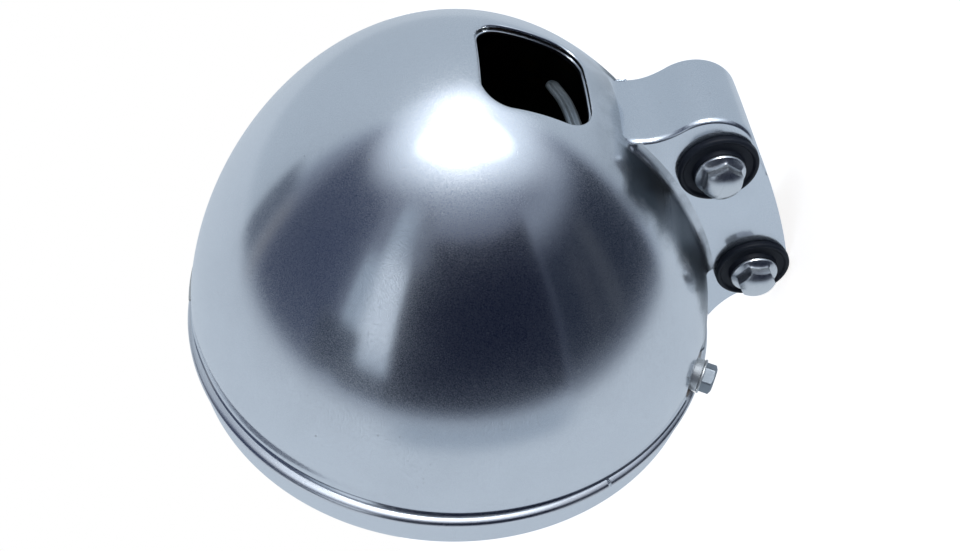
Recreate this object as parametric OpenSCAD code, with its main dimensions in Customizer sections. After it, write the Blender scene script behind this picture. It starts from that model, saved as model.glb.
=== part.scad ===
// Motorcycle headlight: a chromed steel bucket on a channel bracket, with a hinged rim that
// carries the lens, reflector and lamp in a two-axis aiming gimbal.
// Row frame in millimetres: origin midway between the four mounting bolts, lens facing -Y,
// bracket below the lamp, +Z up.
// Lamp frame, used by most modules: Z runs back along the lamp's axis from the middle of the
// rim bead, X to the right side, Y down towards the bracket.

/* [Placement] */
// How far the middle of the mounting bolts lies inside the line of the bucket's mouth
bracket_sink = 2.4; // [1.4:0.1:3]
// Distance of the rim bead in front of the middle of the mounting bolts
bead_front = 57; // [54:0.5:60]

/* [Bucket] */
// Outer radius of the bucket at its mouth
bucket_r = 98.9; // [98:0.1:100]
// Distance from the rim bead to the back of the bucket
bucket_depth = 118; // [115:1:124]
// Sheet thickness of the bucket
bucket_wall = 1.2; // [0.8:0.1:1.5]
// Power of the bowl's profile along the axis
bowl_long_power = 1.67; // [1.62:0.01:1.75]
// Power of the bowl's profile across the axis
bowl_cross_power = 1.85; // [1.8:0.01:1.9]
// Distance from the rim bead to the bucket's front edge
bucket_edge = 3.4; // [3.2:0.1:4]

/* [Wiring hole] */
// Width of the wiring hole
hole_w = 39; // [32:0.5:40]
// Height of the wiring hole
hole_h = 42.2; // [36:0.2:43]
// Radius of the wiring hole's corners
hole_corner = 12; // [8:0.5:14]
// Sideways place of the wiring hole's middle
hole_side = 1.5; // [0:0.5:4]
// Distance of the wiring hole's middle below the lamp's axis
hole_drop = 24.2; // [23:0.1:26]
// How far the hole's turned edge reaches into the bucket
hole_lip = 3; // [2:0.5:5]
// Width of the wire clamp strip
clamp_w = 5.4; // [4:0.2:7]
// Angle of the wire clamp to the hole's upper edge
clamp_turn = 16; // [0:1:20]
// Thickness of the wire clamp strip
clamp_t = 1.2; // [1:0.1:1.6]

/* [Bracket] */
// Outer width over the bracket's two flanges
bracket_w = 32.6; // [31:0.2:38]
// Sheet thickness of the bracket
bracket_t = 2; // [1.5:0.1:2.5]
// Half the height difference between the rear and the front bolts
bolt_rise = 12.2; // [11.4:0.1:13]
// Half the distance between the rear and the front bolts along the lamp
bolt_reach = 25.2; // [24.4:0.2:26]
// Outline radius of the bracket round its rear bolt
peak_r = 16.5; // [15.8:0.1:17.2]
// Outline radius of the bracket round its front bolt
lobe_r = 13; // [12.5:0.1:14.5]

/* [Mounting hardware] */
// Outer radius of a rubber grommet
grommet_r = 13.8; // [12.5:0.1:14]
// Radius of the grommet's groove, and of the hole that holds it
grommet_groove_r = 10; // [9:0.1:11]
// How far a grommet stands out from each face of its flange
grommet_proud = 3.4; // [3:0.1:4]
// Outer radius of a steel collar
collar_r = 6; // [5.5:0.1:7]
// Radial clearance of a bolt in its collar
collar_play = 0.3; // [0.2:0.05:0.5]
// Thread radius of a mounting bolt
bolt_r = 4; // [3.5:0.1:4.5]
// Length of a mounting bolt under its head
bolt_len = 16; // [15:0.5:16]
// Radius of a mounting bolt's flange
bolt_flange_r = 8.5; // [8:0.1:9.5]
// Width across flats of a mounting bolt's head
bolt_af = 12; // [11:0.5:13]
// Height of a mounting bolt's head with its flange
bolt_head_h = 8; // [7:0.5:9]

/* [Rim] */
// Distance from the rim bead to the rim's front
rim_depth = 16.5; // [16.5:0.5:20]
// Sheet thickness of the rim
rim_t = 1; // [0.8:0.1:1.2]
// How far the rim's lip covers the lens
rim_cover = 1.5; // [1:0.25:2]
// How far the bead band stands out beyond the bucket
band_proud = 1.6; // [1.3:0.1:2.2]
// Half the width of the bead band
band_half_w = 1.6; // [1.2:0.1:1.7]
// Width of the gap in the split bead band
band_gap = 1.2; // [0.8:0.1:3]
// How far the rim's spigot reaches into the bucket, from the bead
spigot_depth = 8; // [7:0.5:9]
// Clearance between the spigot and the bucket's wall
spigot_play = 0.7; // [0.5:0.05:0.9]

/* [Rim screws] */
// Angle of a rim screw from straight down
screw_turn = 26.5; // [24:0.5:32]
// Place of a rim screw along the lamp, from the bead
screw_z = 3; // [2:0.2:3.2]
// Thread radius of a rim screw
screw_r = 3; // [2.5:0.1:3]
// Width across flats of a rim screw's head
screw_af = 10; // [8:0.5:10.5]
// Height of a rim screw's head
screw_head_h = 4.3; // [3.5:0.1:5]
// Outer radius of a rim screw's collar
screw_collar_r = 6.2; // [5.8:0.1:6.3]
// Thickness of a rim screw's washer
screw_washer_t = 0.8; // [0.6:0.1:1.2]
// Depth of the dimple round a rim screw's collar
dimple_depth = 2.7; // [2:0.1:3]

/* [Beam unit] */
// Room for the aiming gear between the lens's edge and the outside of the bucket
aim_room = 14.9; // [14.4:0.1:16]
// Thickness of the lens at its edge
lens_edge_t = 3.8; // [3:0.1:4]
// How far the lens bulges forward
lens_bulge = 15; // [12:0.5:18]
// Thickness of the lens in the middle
lens_t = 3.5; // [3:0.1:4]
// Focal length of the reflector
focal = 28; // [27:0.5:32]
// Sheet thickness of the reflector
reflector_t = 0.8; // [0.6:0.1:1]
// Outer radius of the reflector's neck
neck_r = 22; // [21.5:0.1:22.5]
// Length of the reflector's neck
neck_len = 9.5; // [9:0.5:11]
// Radius of the glass bulb
bulb_r = 8.5; // [7.5:0.1:9]
// Length of the glass bulb in front of its flange
bulb_len = 38; // [34:0.5:42]
// Radius of the lamp's metal base
base_r = 13.4; // [12.5:0.1:13.8]
// Length of the lamp's base behind its flange
base_len = 14; // [13:0.5:15]
// Length of the lamp's three contacts
contact_len = 9; // [7:0.5:10]
// Wall of the rubber boot
boot_t = 2; // [1.5:0.1:2.5]

/* [Aiming gear] */
// Radial thickness of the aiming ring
aim_ring_t = 2; // [1.6:0.1:2]
// Axial height of the aiming ring
aim_ring_h = 6; // [5:0.5:6.5]
// Radius of the pivot pins
pivot_r = 1.6; // [1.4:0.1:2]
// Radial clearance of the pivot pins in their holes
pivot_play = 0.05; // [0.03:0.01:0.08]
// Radius of an aiming screw
aim_screw_r = 2; // [1.8:0.1:2]
// Angle of an aiming screw from the pivot beside it
aim_screw_turn = 22; // [20:1:30]
// Wire diameter of an aiming spring
spring_wire = 0.8; // [0.6:0.1:0.9]
// Number of curls in an aiming spring
spring_curls = 5; // [3:1:6]

/* [Hidden] */
$fn = 96;
eps = 0.01;
loose = 0.3;
cut_reach = 60;

// Places of the lamp and its opening
axis_h = bucket_r - bracket_sink;
lens_r = bucket_r - aim_room;
rim_open_r = lens_r - rim_cover;

// Bowl
bowl_steps = 24;
front_clear = 0.2;

// Bracket outline, in the lamp frame's Y and Z
rear_bolt = [axis_h - bolt_rise, bead_front + bolt_reach];
front_bolt = [axis_h + bolt_rise, bead_front - bolt_reach];
peak_mid = rear_bolt + [-4.6, 3.4];
web_root = peak_mid + [-26.3, 7.2];
web_knee = peak_mid + [-16.4, 7.7];
web_bend = front_bolt + [3.4, 30.2];
web_inner = rear_bolt - [44, 3];
flange_belly = rear_bolt - [34, 21];
front_hex_turn = 30;
peak_start = 130;
peak_end = 29.3;
lobe_start = 20;
lobe_end = -75;
web_end_y = rear_bolt[0] + 19;
bracket_reach = 2 * peak_r;
bracket_foot = 7.5;
flange_in = bracket_w / 2 - bracket_t;
collar_len = bracket_t + 2 * grommet_proud;
bolt_sides = [1, -1];

// Wire clamp
clamp_root_drop = 20;
clamp_fall = 8;
clamp_len = 38;
clamp_tip = [hole_side - hole_w / 2 + 2.5, hole_drop + hole_h / 2 - 12.6];

// Rim radii and places
spigot_r = bucket_r - bucket_wall - spigot_play;
spigot_in = spigot_r - rim_t;
ridge_r = bucket_r + 0.7;
ridge_z = bucket_edge - 0.9;
seat_r = bucket_r - 0.5;
skirt_r = bucket_r - 0.3;
band_mid = 0;
curl_r = 4.4;
rim_lip = 0.6;
hook_w = 16;
hook_z = spigot_depth + 0.5;
hook_t = 1.2;
tab_t = 1.2;
tab_out = bucket_r - dimple_depth - bucket_wall - 0.4;
nut_h = 3;
screw_tip = tab_out - tab_t - nut_h - 0.2;
collar_out = bucket_r + 1.3;
dimple_r = 10.5;
notch_play = 0.4;

// Beam unit places along the lamp
lens_front = -9.8;
lens_back = lens_front + lens_edge_t;
gasket_t = 0.8;
flange_z = lens_back + gasket_t;
seat_z = flange_z + reflector_t;
seat_t = 1;
beam_ring_t = 1;
beam_ring_in = lens_r + 0.6;
beam_ring_r = beam_ring_in + beam_ring_t;
retain_t = 0.6;
retain_h = 3.4;
retain_r = beam_ring_r + 1.2;
pivot_z = 4;
aim_ring_in = beam_ring_r + 0.8;
aim_ring_r = aim_ring_in + aim_ring_t;
aim_screw_at = aim_ring_r + aim_screw_r + 0.2;
aim_screw_head_r = 4;
aim_screw_head_h = 2.4;
aim_nut_r = 3.3;
aim_nut_play = 0.55;
ear_z = spigot_depth + 0.6;
ear_t = 3;
ear_half_w = 6;
ear_out = spigot_in - 0.8;
ear_reach = 20;
beam_ear_z = pivot_z - aim_ring_h / 2 - 6.6;
spring_r = 2.7;
clip_t = 0.6;
clip_r = 3;
clip_play = 0.1;
spring_z = [rim_t - rim_depth, ear_z + ear_t];
spring_len = [8, 3.6];

// Reflector, lamp and boot
bowl_mouth_r = lens_r - 3.5;
vertex_z = flange_z + bowl_mouth_r * bowl_mouth_r / (4 * focal);
neck_in = neck_r - 1.2;
neck_z = vertex_z - neck_in * neck_in / (4 * focal);
neck_end = neck_z + neck_len;
ledge_t = 1.2;
lamp_z = neck_end - 1;
lug_w = 30;
lug_count = 3;
lug_out = 2;
lug_t = 1.5;
lug_z = neck_end - 4.6;
retainer_in = neck_r + lug_out + loose;
retainer_out = retainer_in + 1.6;
retainer_z = neck_end + loose;
retainer_t = 1;
boot_in = retainer_out + 0.8;
boot_r = boot_in + boot_t;
boot_front = vertex_z - boot_r * boot_r / (4 * focal) + 3.2;
boot_back = retainer_z + retainer_t + 3;

function radial(a, r) = [r * cos(a), r * sin(a)];
function arc(mid, r, a0, a1, n) = [for (i = [0:n]) mid + radial(a0 + (a1 - a0) * i / n, r)];
function curve(a, b, c, n) =
    [for (i = [0:n]) let (t = i / n) (1 - t) * (1 - t) * a + 2 * t * (1 - t) * b + t * t * c];
function right_of(p, i) =
    let (a = p[max(i - 1, 0)], b = p[min(i + 1, len(p) - 1)], d = (b - a) / norm(b - a))
    [d[1], -d[0]];
function inset(p, d) = [for (i = [0:len(p) - 1]) p[i] + d * right_of(p, i)];
function bowl_radius(z, r, depth) =
    r * pow(1 - pow(min(z / depth, 1), bowl_long_power), 1 / bowl_cross_power);
function bowl_points(r, depth, z0) =
    [for (i = [0:bowl_steps]) let (a = 90 * i / bowl_steps, z = z0 + (depth - z0) * sin(a))
        [bowl_radius(z, r, depth), z]];

// Stands the lamp frame in the row frame
module lamp() {
    translate([0, -bead_front, axis_h]) rotate([-90, 0, 0]) children();
}

// A plate with an outline in Y and Z, from x0 over a width
module plate(x0, width) {
    translate([x0, 0, 0]) rotate([90, 0, 90]) linear_extrude(width) children();
}

// Puts children at a point of the lamp's rim, with Z pointing outwards
module out_at(angle, z) {
    translate([0, 0, z]) rotate([0, 0, angle]) rotate([0, 90, 0]) children();
}

// The rim screws sit at equal angles on either side of straight down
module at_screw(side) {
    out_at(90 - side * screw_turn, screw_z) children();
}

module ring(r_out, r_in, z0, h) {
    translate([0, 0, z0]) difference() {
        cylinder(r = r_out, h = h);
        translate([0, 0, -1]) cylinder(r = r_in, h = h + 2);
    }
}

module bowl_solid(r, depth, z0) {
    rotate_extrude() polygon(concat([[0, z0]], bowl_points(r, depth, z0)));
}

module hole_outline(grow) {
    c = hole_corner + grow;
    w = hole_w / 2 - hole_corner;
    h = hole_h / 2 - hole_corner;
    translate([hole_side, hole_drop]) {
        square([2 * (w + c), 2 * h], center = true);
        square([2 * w, 2 * (h + c)], center = true);
        for (sx = [-1, 1], sy = [-1, 1]) translate([sx * w, sy * h]) circle(c, $fn = 48);
    }
}

// The dished cup round a rim screw's collar, open to the front
module dimple(grow) {
    translate([0, 0, bucket_r - dimple_depth])
        cylinder(r1 = screw_collar_r + notch_play + grow, r2 = dimple_r + grow,
            h = dimple_depth + 0.4);
}

module bucket_skin() {
    rotate_extrude() polygon(concat(
        bowl_points(bucket_r, bucket_depth, bucket_edge),
        [for (i = [bowl_steps:-1:0])
            bowl_points(bucket_r - bucket_wall, bucket_depth - bucket_wall, bucket_edge)[i]]));
}

module hole_edge() {
    intersection() {
        difference() {
            bowl_solid(bucket_r - bucket_wall / 2, bucket_depth - bucket_wall / 2, bucket_edge);
            bowl_solid(bucket_r - bucket_wall - hole_lip, bucket_depth - bucket_wall - hole_lip,
                bucket_edge);
        }
        translate([0, 0, bucket_depth / 2]) linear_extrude(bucket_depth) hole_outline(bucket_wall);
    }
}

module bucket_shell() {
    color("gainsboro") lamp() difference() {
        union() {
            bucket_skin();
            hole_edge();
            for (side = bolt_sides) intersection() {
                at_screw(side) difference() {
                    translate([0, 0, -bucket_wall]) dimple(bucket_wall);
                    translate([0, 0, eps]) dimple(0);
                }
                bowl_solid(bucket_r, bucket_depth, bucket_edge);
            }
        }
        translate([0, 0, bucket_depth / 2]) linear_extrude(bucket_depth) hole_outline(0);
        for (side = bolt_sides) at_screw(side) {
            dimple(0);
            translate([0, 0, bucket_r - 10])
                cylinder(r = screw_collar_r + notch_play, h = 12);
        }
        translate([-hook_w / 2 - 0.6, -bucket_r - 1, hook_z - 0.7])
            cube([hook_w + 1.2, 6, hook_t + 1.4]);
    }
}

// The bracket's edge from the bucket over the peak and down to the front bolt, set in by d
function web_line() =
    let (peak = arc(peak_mid, peak_r, peak_start, peak_end, 8),
         lobe = front_bolt + radial(lobe_start, lobe_r))
    concat(curve(web_root, web_knee, peak[0], 5), [for (i = [1:8]) peak[i]],
        [for (i = [1:6]) curve(peak[8], web_bend, lobe, 6)[i]]);

function flange_outline() = concat(
    [web_inner],
    web_line(),
    [for (i = [1:6]) arc(front_bolt, lobe_r, lobe_start, lobe_end, 6)[i]],
    [for (i = [1:5]) curve(front_bolt + radial(lobe_end, lobe_r), [bucket_r + 4.1, bucket_edge + 12.6],
        [bucket_r - 0.3, bucket_edge], 5)[i]],
    [[bucket_r - bracket_foot, bucket_edge], flange_belly]);

function cavity_outline() = concat(
    [web_inner - [0, bracket_t]],
    [for (p = inset(web_line(), bracket_t)) if (p[0] < web_end_y) p],
    [[web_end_y, rear_bolt[1] + bracket_reach], [web_end_y + cut_reach, rear_bolt[1] + bracket_reach],
     [web_end_y + cut_reach, -cut_reach], [bucket_r - bracket_foot, -cut_reach]]);

module mount_bracket() {
    color("gainsboro") lamp() difference() {
        plate(-bracket_w / 2, bracket_w) polygon(flange_outline());
        plate(-flange_in, 2 * flange_in) polygon(cavity_outline());
        bowl_solid(bucket_r, bucket_depth, bucket_edge);
        translate([0, 0, bucket_edge - cut_reach]) cylinder(r = bucket_r + 1, h = cut_reach);
        for (b = [rear_bolt, front_bolt]) translate([-bracket_w, b[0], b[1]])
            rotate([0, 90, 0]) cylinder(r = grommet_groove_r, h = 2 * bracket_w);
    }
}

// The clamp's profile in X and Z: a foot on the bucket's wall, then a tongue past the hole
module wire_clamp() {
    root_z = bucket_depth - clamp_root_drop;
    step_z = root_z - clamp_fall / 2;
    tip_z = root_z - clamp_fall;
    color("silver") lamp() intersection() {
        translate([clamp_tip[0], clamp_tip[1], 0]) rotate([0, 0, clamp_turn]) union() {
            translate([0, clamp_w / 2, 0]) rotate([90, 0, 0]) linear_extrude(clamp_w) polygon([
                [0, tip_z], [0, tip_z - clamp_t],
                [clamp_len * 0.75, step_z - clamp_t], [clamp_len * 1.4, step_z - clamp_t],
                [clamp_len * 1.4, bucket_depth], [clamp_len, bucket_depth],
                [clamp_len, step_z], [clamp_len * 0.75, step_z]]);
            translate([0, 0, tip_z - clamp_t]) cylinder(r = clamp_w / 2, h = clamp_t);
        }
        bowl_solid(bucket_r - bucket_wall, bucket_depth - bucket_wall, bucket_edge);
    }
}

// Puts children on a bolt's axis, X pointing out of the bracket, at the flange's outer face
module at_bolt(which, side) {
    lamp() scale_side(side) translate([bracket_w / 2, which[0], which[1]])
        rotate([0, 90, 0]) children();
}

module scale_side(side) {
    mirror([side < 0 ? 1 : 0, 0, 0]) children();
}

module grommet(which, side) {
    dish_r = bolt_flange_r + 0.6;
    edge = 1.2;
    inner_r = grommet_groove_r + 1.6;
    top = grommet_proud;
    low = -bracket_t - grommet_proud;
    color([0.09, 0.09, 0.1]) at_bolt(which, side) rotate_extrude() polygon([
        [collar_r, low], [inner_r - edge, low], [inner_r, low + edge], [inner_r, -bracket_t],
        [grommet_groove_r, -bracket_t], [grommet_groove_r, 0], [grommet_r, 0],
        [grommet_r, top - edge], [grommet_r - edge, top], [dish_r + 0.8, top],
        [dish_r, top - 0.8], [collar_r, top - 0.8]]);
}

module mount_collars() {
    color("silver") for (b = [rear_bolt, front_bolt], side = bolt_sides) at_bolt(b, side)
        ring(collar_r, bolt_r + collar_play, -bracket_t - grommet_proud, collar_len);
}

// A flanged hexagon bolt, seated at Z = 0 with its shank along -Z
module flange_bolt(turn) {
    hex_r = bolt_af / 2 / cos(30);
    thread_depth = 0.4;
    shank_len = collar_len + 0.5;
    rotate([0, 0, turn]) intersection() {
        union() {
            cylinder(r = bolt_flange_r, h = 1.2);
            translate([0, 0, 1.2]) cylinder(r1 = bolt_flange_r, r2 = hex_r - 0.4, h = 1.6);
            cylinder(r = hex_r, h = bolt_head_h, $fn = 6);
        }
        union() {
            cylinder(r = bolt_flange_r, h = 3);
            cylinder(r = hex_r, h = bolt_head_h - 1.2);
            translate([0, 0, bolt_head_h - 1.2 - eps])
                cylinder(r1 = hex_r, r2 = hex_r - 1.6, h = 1.2 + eps);
        }
    }
    translate([0, 0, -shank_len]) cylinder(r = bolt_r - thread_depth, h = shank_len + eps);
    translate([0, 0, 0.8 - bolt_len]) cylinder(r = bolt_r, h = bolt_len - 0.8 - shank_len);
    translate([0, 0, -bolt_len]) cylinder(r1 = bolt_r - 0.8, r2 = bolt_r, h = 0.8 + eps);
}

module mount_bolts() {
    color("lightgray") for (side = bolt_sides) {
        at_bolt(rear_bolt, side) translate([0, 0, grommet_proud]) flange_bolt(0);
        at_bolt(front_bolt, side) translate([0, 0, grommet_proud]) flange_bolt(front_hex_turn);
    }
}

// The rim's section, outside first from back to front, then the inside back again
function rim_section() = concat(
    [[spigot_r, spigot_depth], [spigot_r, ridge_z], [ridge_r, ridge_z], [ridge_r, ridge_z - 0.8],
     [seat_r, ridge_z - 0.8], [seat_r, band_mid - band_half_w - 0.4],
     [skirt_r, band_mid - band_half_w - 0.6]],
    arc([skirt_r - 0.3 - curl_r, curl_r - rim_depth], curl_r, 0, -90, 6),
    [[rim_open_r + 1.2, -rim_depth], [rim_open_r, 0.9 - rim_depth],
     [rim_open_r, rim_lip + rim_t - rim_depth], [rim_open_r + rim_t, rim_lip + rim_t - rim_depth],
     [rim_open_r + rim_t, rim_t - rim_depth]],
    arc([skirt_r - 0.3 - curl_r, curl_r - rim_depth], curl_r - rim_t, -90, 0, 6),
    [[skirt_r - rim_t, band_mid - band_half_w - 0.6], [seat_r - rim_t, band_mid - band_half_w],
     [seat_r - rim_t, ridge_z - 1.6], [spigot_in, ridge_z - 1.6], [spigot_in, spigot_depth]]);

// The two aiming screws: one near the top for height, one at the right for direction
function aim_angle(vertical) = vertical ? -90 + aim_screw_turn : aim_screw_turn;

module at_aim(vertical) {
    p = radial(aim_angle(vertical), aim_screw_at);
    translate([p[0], p[1], 0]) children();
}

module rim() {
    color("gainsboro") lamp() difference() {
        rotate_extrude() polygon(rim_section());
        for (side = bolt_sides) at_screw(side) {
            translate([0, 0, bucket_r - 12]) cylinder(r = screw_collar_r + notch_play, h = 16);
        }
        for (side = bolt_sides) rotate([0, 0, 90 - side * screw_turn])
            translate([spigot_in - 1, -dimple_r - 1.6, ridge_z])
            cube([rim_t + 2, 2 * dimple_r + 3.2, spigot_depth]);
        at_aim(true) translate([0, 0, -rim_depth - 1])
            cylinder(r = aim_screw_r + pivot_play, h = rim_depth, $fn = 48);
        at_aim(false) translate([0, 0, -rim_depth - 1])
            cylinder(r = aim_screw_r + 1.3, h = rim_depth, $fn = 48);
        for (a = [0, 180]) out_at(a, pivot_z) translate([0, 0, spigot_in - 2])
            cylinder(r = pivot_r, h = 5, $fn = 48);
    }
}

module rim_band() {
    n = 8;
    gap_turn = 29.5;
    color("gainsboro") lamp() difference() {
        rotate_extrude() polygon(
            [for (i = [0:n]) let (a = 90 - 180 * i / n)
                [seat_r + (bucket_r + band_proud - seat_r) * cos(a),
                 band_mid + band_half_w * sin(a)]]);
        rotate([0, 0, gap_turn]) translate([seat_r - 2, -band_gap / 2, band_mid - 4])
            cube([8, band_gap, 8]);
        for (side = bolt_sides) at_screw(side) translate([0, 0, bucket_r - 12])
            cylinder(r = screw_collar_r + notch_play, h = 20);
    }
}

module rim_gasket() {
    h = bucket_edge - ridge_z - front_clear;
    color([0.1, 0.1, 0.11]) lamp() difference() {
        ring(bucket_r - 0.3, spigot_r, ridge_z, h);
        for (side = bolt_sides) at_screw(side) translate([0, 0, bucket_r - 12])
            cylinder(r = screw_collar_r + notch_play, h = 20);
    }
}

// A tongue riveted inside the spigot, with a lug that catches the slot at the bucket's top
module rim_hook() {
    color("silver") lamp() intersection() {
        union() {
            ring(spigot_in, spigot_in - hook_t, ridge_z - 1, hook_z + hook_t - ridge_z + 1);
            ring(bucket_r - 0.2, spigot_in - hook_t, hook_z, hook_t);
        }
        translate([-hook_w / 2, -bucket_r - 2, -cut_reach / 2])
            cube([hook_w, cut_reach, cut_reach]);
    }
}

module rim_screw_tabs() {
    half_w = 8;
    foot_t = 1.6;
    foot_z = screw_z - screw_collar_r - front_clear - foot_t;
    color("silver") lamp() for (side = bolt_sides) difference() {
        rotate([0, 0, 90 - side * screw_turn]) {
            translate([tab_out - tab_t, -half_w, foot_z])
                cube([tab_t, 2 * half_w, screw_z + 6 - foot_z]);
            intersection() {
                translate([tab_out - tab_t, -half_w, foot_z])
                    cube([seat_r - tab_out, 2 * half_w, foot_t]);
                cylinder(r = seat_r - rim_t, h = 4 * rim_depth, center = true);
            }
        }
        at_screw(side) translate([0, 0, tab_out - 10]) cylinder(r = screw_r + 0.2, h = 20);
    }
}

module rim_screw_nuts() {
    color("silver") lamp() for (side = bolt_sides) at_screw(side) difference() {
        translate([0, 0, tab_out - tab_t - nut_h])
            cylinder(r = screw_af / 2 / cos(30), h = nut_h, $fn = 6);
        translate([0, 0, tab_out - tab_t - nut_h - 1]) cylinder(r = screw_r + pivot_play, h = 6);
    }
}

module rim_screw_collars() {
    color("silver") lamp() for (side = bolt_sides) at_screw(side)
        ring(screw_collar_r, screw_r + 0.2, tab_out, collar_out - tab_out);
}

module rim_washer(side) {
    color("silver") lamp() at_screw(side)
        ring(screw_collar_r + 0.3, screw_r + pivot_play, collar_out, screw_washer_t);
}

module rim_screw(side) {
    seat = collar_out + screw_washer_t;
    hex_r = screw_af / 2 / cos(30);
    color("darkgray") lamp() at_screw(side) {
        intersection() {
            translate([0, 0, seat]) cylinder(r = hex_r, h = screw_head_h, $fn = 6);
            union() {
                translate([0, 0, seat]) cylinder(r = hex_r, h = screw_head_h - 0.7);
                translate([0, 0, seat + screw_head_h - 0.7 - eps])
                    cylinder(r1 = hex_r, r2 = hex_r - 1.2, h = 0.7 + eps);
            }
        }
        translate([0, 0, screw_tip]) cylinder(r = screw_r, h = seat - screw_tip + eps);
    }
}

// Pins fixed in the spigot, with a shoulder that centres the aiming ring
module rim_pivot_pins() {
    color("silver") lamp() for (a = [0, 180]) out_at(a, pivot_z) {
        translate([0, 0, aim_ring_in])
            cylinder(r = pivot_r, h = spigot_r - 0.1 - aim_ring_in, $fn = 48);
        translate([0, 0, aim_ring_r + loose])
            cylinder(r = pivot_r + 1.2, h = spigot_in - 0.1 - aim_ring_r - loose, $fn = 48);
    }
}

module aim_ring() {
    ear_in = aim_ring_in + 0.5;
    leg_t = 2;
    color("slategray") lamp() difference() {
        union() {
            ring(aim_ring_r, aim_ring_in, pivot_z - aim_ring_h / 2, aim_ring_h);
            for (vertical = [true, false]) {
                intersection() {
                    rotate([0, 0, aim_angle(vertical)]) translate([aim_ring_in - 5, -ear_half_w, ear_z])
                        cube([ear_reach, 2 * ear_half_w, ear_t]);
                    ring(ear_out, ear_in, 0, cut_reach);
                }
                intersection() {
                    rotate([0, 0, aim_angle(vertical)]) for (y = [-ear_half_w, ear_half_w - leg_t])
                        translate([aim_ring_in - 5, y, pivot_z])
                        cube([ear_reach, leg_t, ear_z + ear_t / 2 - pivot_z]);
                    ring(aim_ring_r - 0.3, ear_in, 0, cut_reach);
                }
            }
        }
        at_aim(true) translate([0, 0, ear_z - 1]) cylinder(r = aim_nut_r, h = 8, $fn = 48);
        at_aim(false) cylinder(r = aim_screw_r + pivot_play, h = ear_reach, $fn = 48);
        at_aim(true) cylinder(r = aim_screw_r + 0.8, h = ear_reach, $fn = 48);
        for (a = [0, 180]) out_at(a, pivot_z) translate([0, 0, aim_ring_in - 2])
            cylinder(r = pivot_r + pivot_play, h = 8, $fn = 48);
        for (a = [90, 270]) out_at(a, pivot_z) translate([0, 0, aim_ring_in - 2])
            cylinder(r = pivot_r, h = 8, $fn = 48);
    }
}

module beam_pivot_pins() {
    color("silver") lamp() for (a = [90, 270]) out_at(a, pivot_z)
        translate([0, 0, beam_ring_in]) cylinder(r = pivot_r, h = aim_ring_r - beam_ring_in,
            $fn = 48);
}

// A nut pressed in an ear, with room round the screw for the tilt
module aim_nut(vertical) {
    z0 = vertical ? ear_z - 0.4 : beam_ear_z - 0.4;
    color("ivory") lamp() at_aim(vertical)
        ring(aim_nut_r, aim_screw_r + aim_nut_play, z0, ear_t + 0.8);
}

module aim_screw(vertical) {
    head_z = vertical ? -rim_depth : -rim_depth - 1.8;
    tip_z = vertical ? ear_z + ear_t + 2.4 : ear_z + ear_t + 5.6;
    color("silver") lamp() at_aim(vertical) difference() {
        union() {
            translate([0, 0, head_z - aim_screw_head_h])
                cylinder(r1 = aim_screw_head_r - 0.8, r2 = aim_screw_head_r, h = aim_screw_head_h);
            translate([0, 0, head_z - eps]) cylinder(r = aim_screw_r, h = tip_z - head_z, $fn = 48);
        }
        for (a = [0, 90]) rotate([0, 0, a])
            translate([-2.2, -0.45, head_z - aim_screw_head_h - 1]) cube([4.4, 0.9, 2.4]);
    }
}

module aim_clip(vertical) {
    i = vertical ? 0 : 1;
    color("gray") lamp() at_aim(vertical)
        ring(clip_r, aim_screw_r, spring_z[i] + spring_len[i] + clip_play, clip_t);
}

// One unbroken coil: rings of points along a helix, joined and capped
function coil_point(turn, length, turns) =
    [spring_r * cos(turn * 360), spring_r * sin(turn * 360),
     spring_wire / 2 + (length - spring_wire) * turn / turns];

module coil(length, turns) {
    per_turn = 8;
    sides = 6;
    count = per_turn * turns;
    rise = atan2((length - spring_wire) / turns, 2 * PI * spring_r);
    points = [for (i = [0:count], j = [0:sides - 1])
        let (a = i / per_turn * 360, b = j / sides * 360,
             c = spring_wire / 2 * cos(b), s = spring_wire / 2 * sin(b))
        coil_point(i / per_turn, length, turns)
            + c * [cos(a), sin(a), 0] + s * [sin(a) * sin(rise), -cos(a) * sin(rise), cos(rise)]];
    tube = [for (i = [0:count - 1], j = [0:sides - 1])
        let (a = i * sides + j, b = i * sides + (j + 1) % sides)
        each [[a, b + sides, b], [a, a + sides, b + sides]]];
    last = count * sides;
    caps = [for (j = [1:sides - 2]) each [[0, j, j + 1], [last, last + j + 1, last + j]]];
    gap = min([for (i = [0:count - per_turn])
        norm(coil_point((i + per_turn) / per_turn, length, turns)
            - coil_point(i / per_turn, length, turns))]) - spring_wire;
    echo(least_gap = gap);
    polyhedron(points, concat(tube, caps));
}

module aim_spring(vertical) {
    i = vertical ? 0 : 1;
    turns = vertical ? spring_curls : 2;
    color("silver") lamp() at_aim(vertical) translate([0, 0, spring_z[i]])
        coil(spring_len[i], turns);
}

module beam_ring() {
    color("slategray") lamp() difference() {
        union() {
            ring(beam_ring_r, beam_ring_in, lens_front + 0.6, pivot_z + 3 - lens_front - 0.6);
            ring(beam_ring_r, beam_ring_in - 2.6, seat_z, seat_t);
            intersection() {
                rotate([0, 0, aim_angle(false)])
                    translate([beam_ring_in, -ear_half_w, beam_ear_z])
                    cube([ear_reach, 2 * ear_half_w, ear_t]);
                ring(ear_out, beam_ring_in, -ear_reach, 2 * ear_reach);
            }
        }
        at_aim(false) translate([0, 0, beam_ear_z - 1]) cylinder(r = aim_nut_r, h = 6, $fn = 48);
        for (a = [90, 270]) out_at(a, pivot_z) translate([0, 0, beam_ring_in - 4])
            cylinder(r = pivot_r + pivot_play, h = 8, $fn = 48);
    }
}

module retaining_ring() {
    color("silver") lamp() {
        ring(retain_r, lens_r - 2.4, lens_front - retain_t, retain_t);
        ring(retain_r, beam_ring_r, lens_front - retain_t, retain_h);
    }
}

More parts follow.
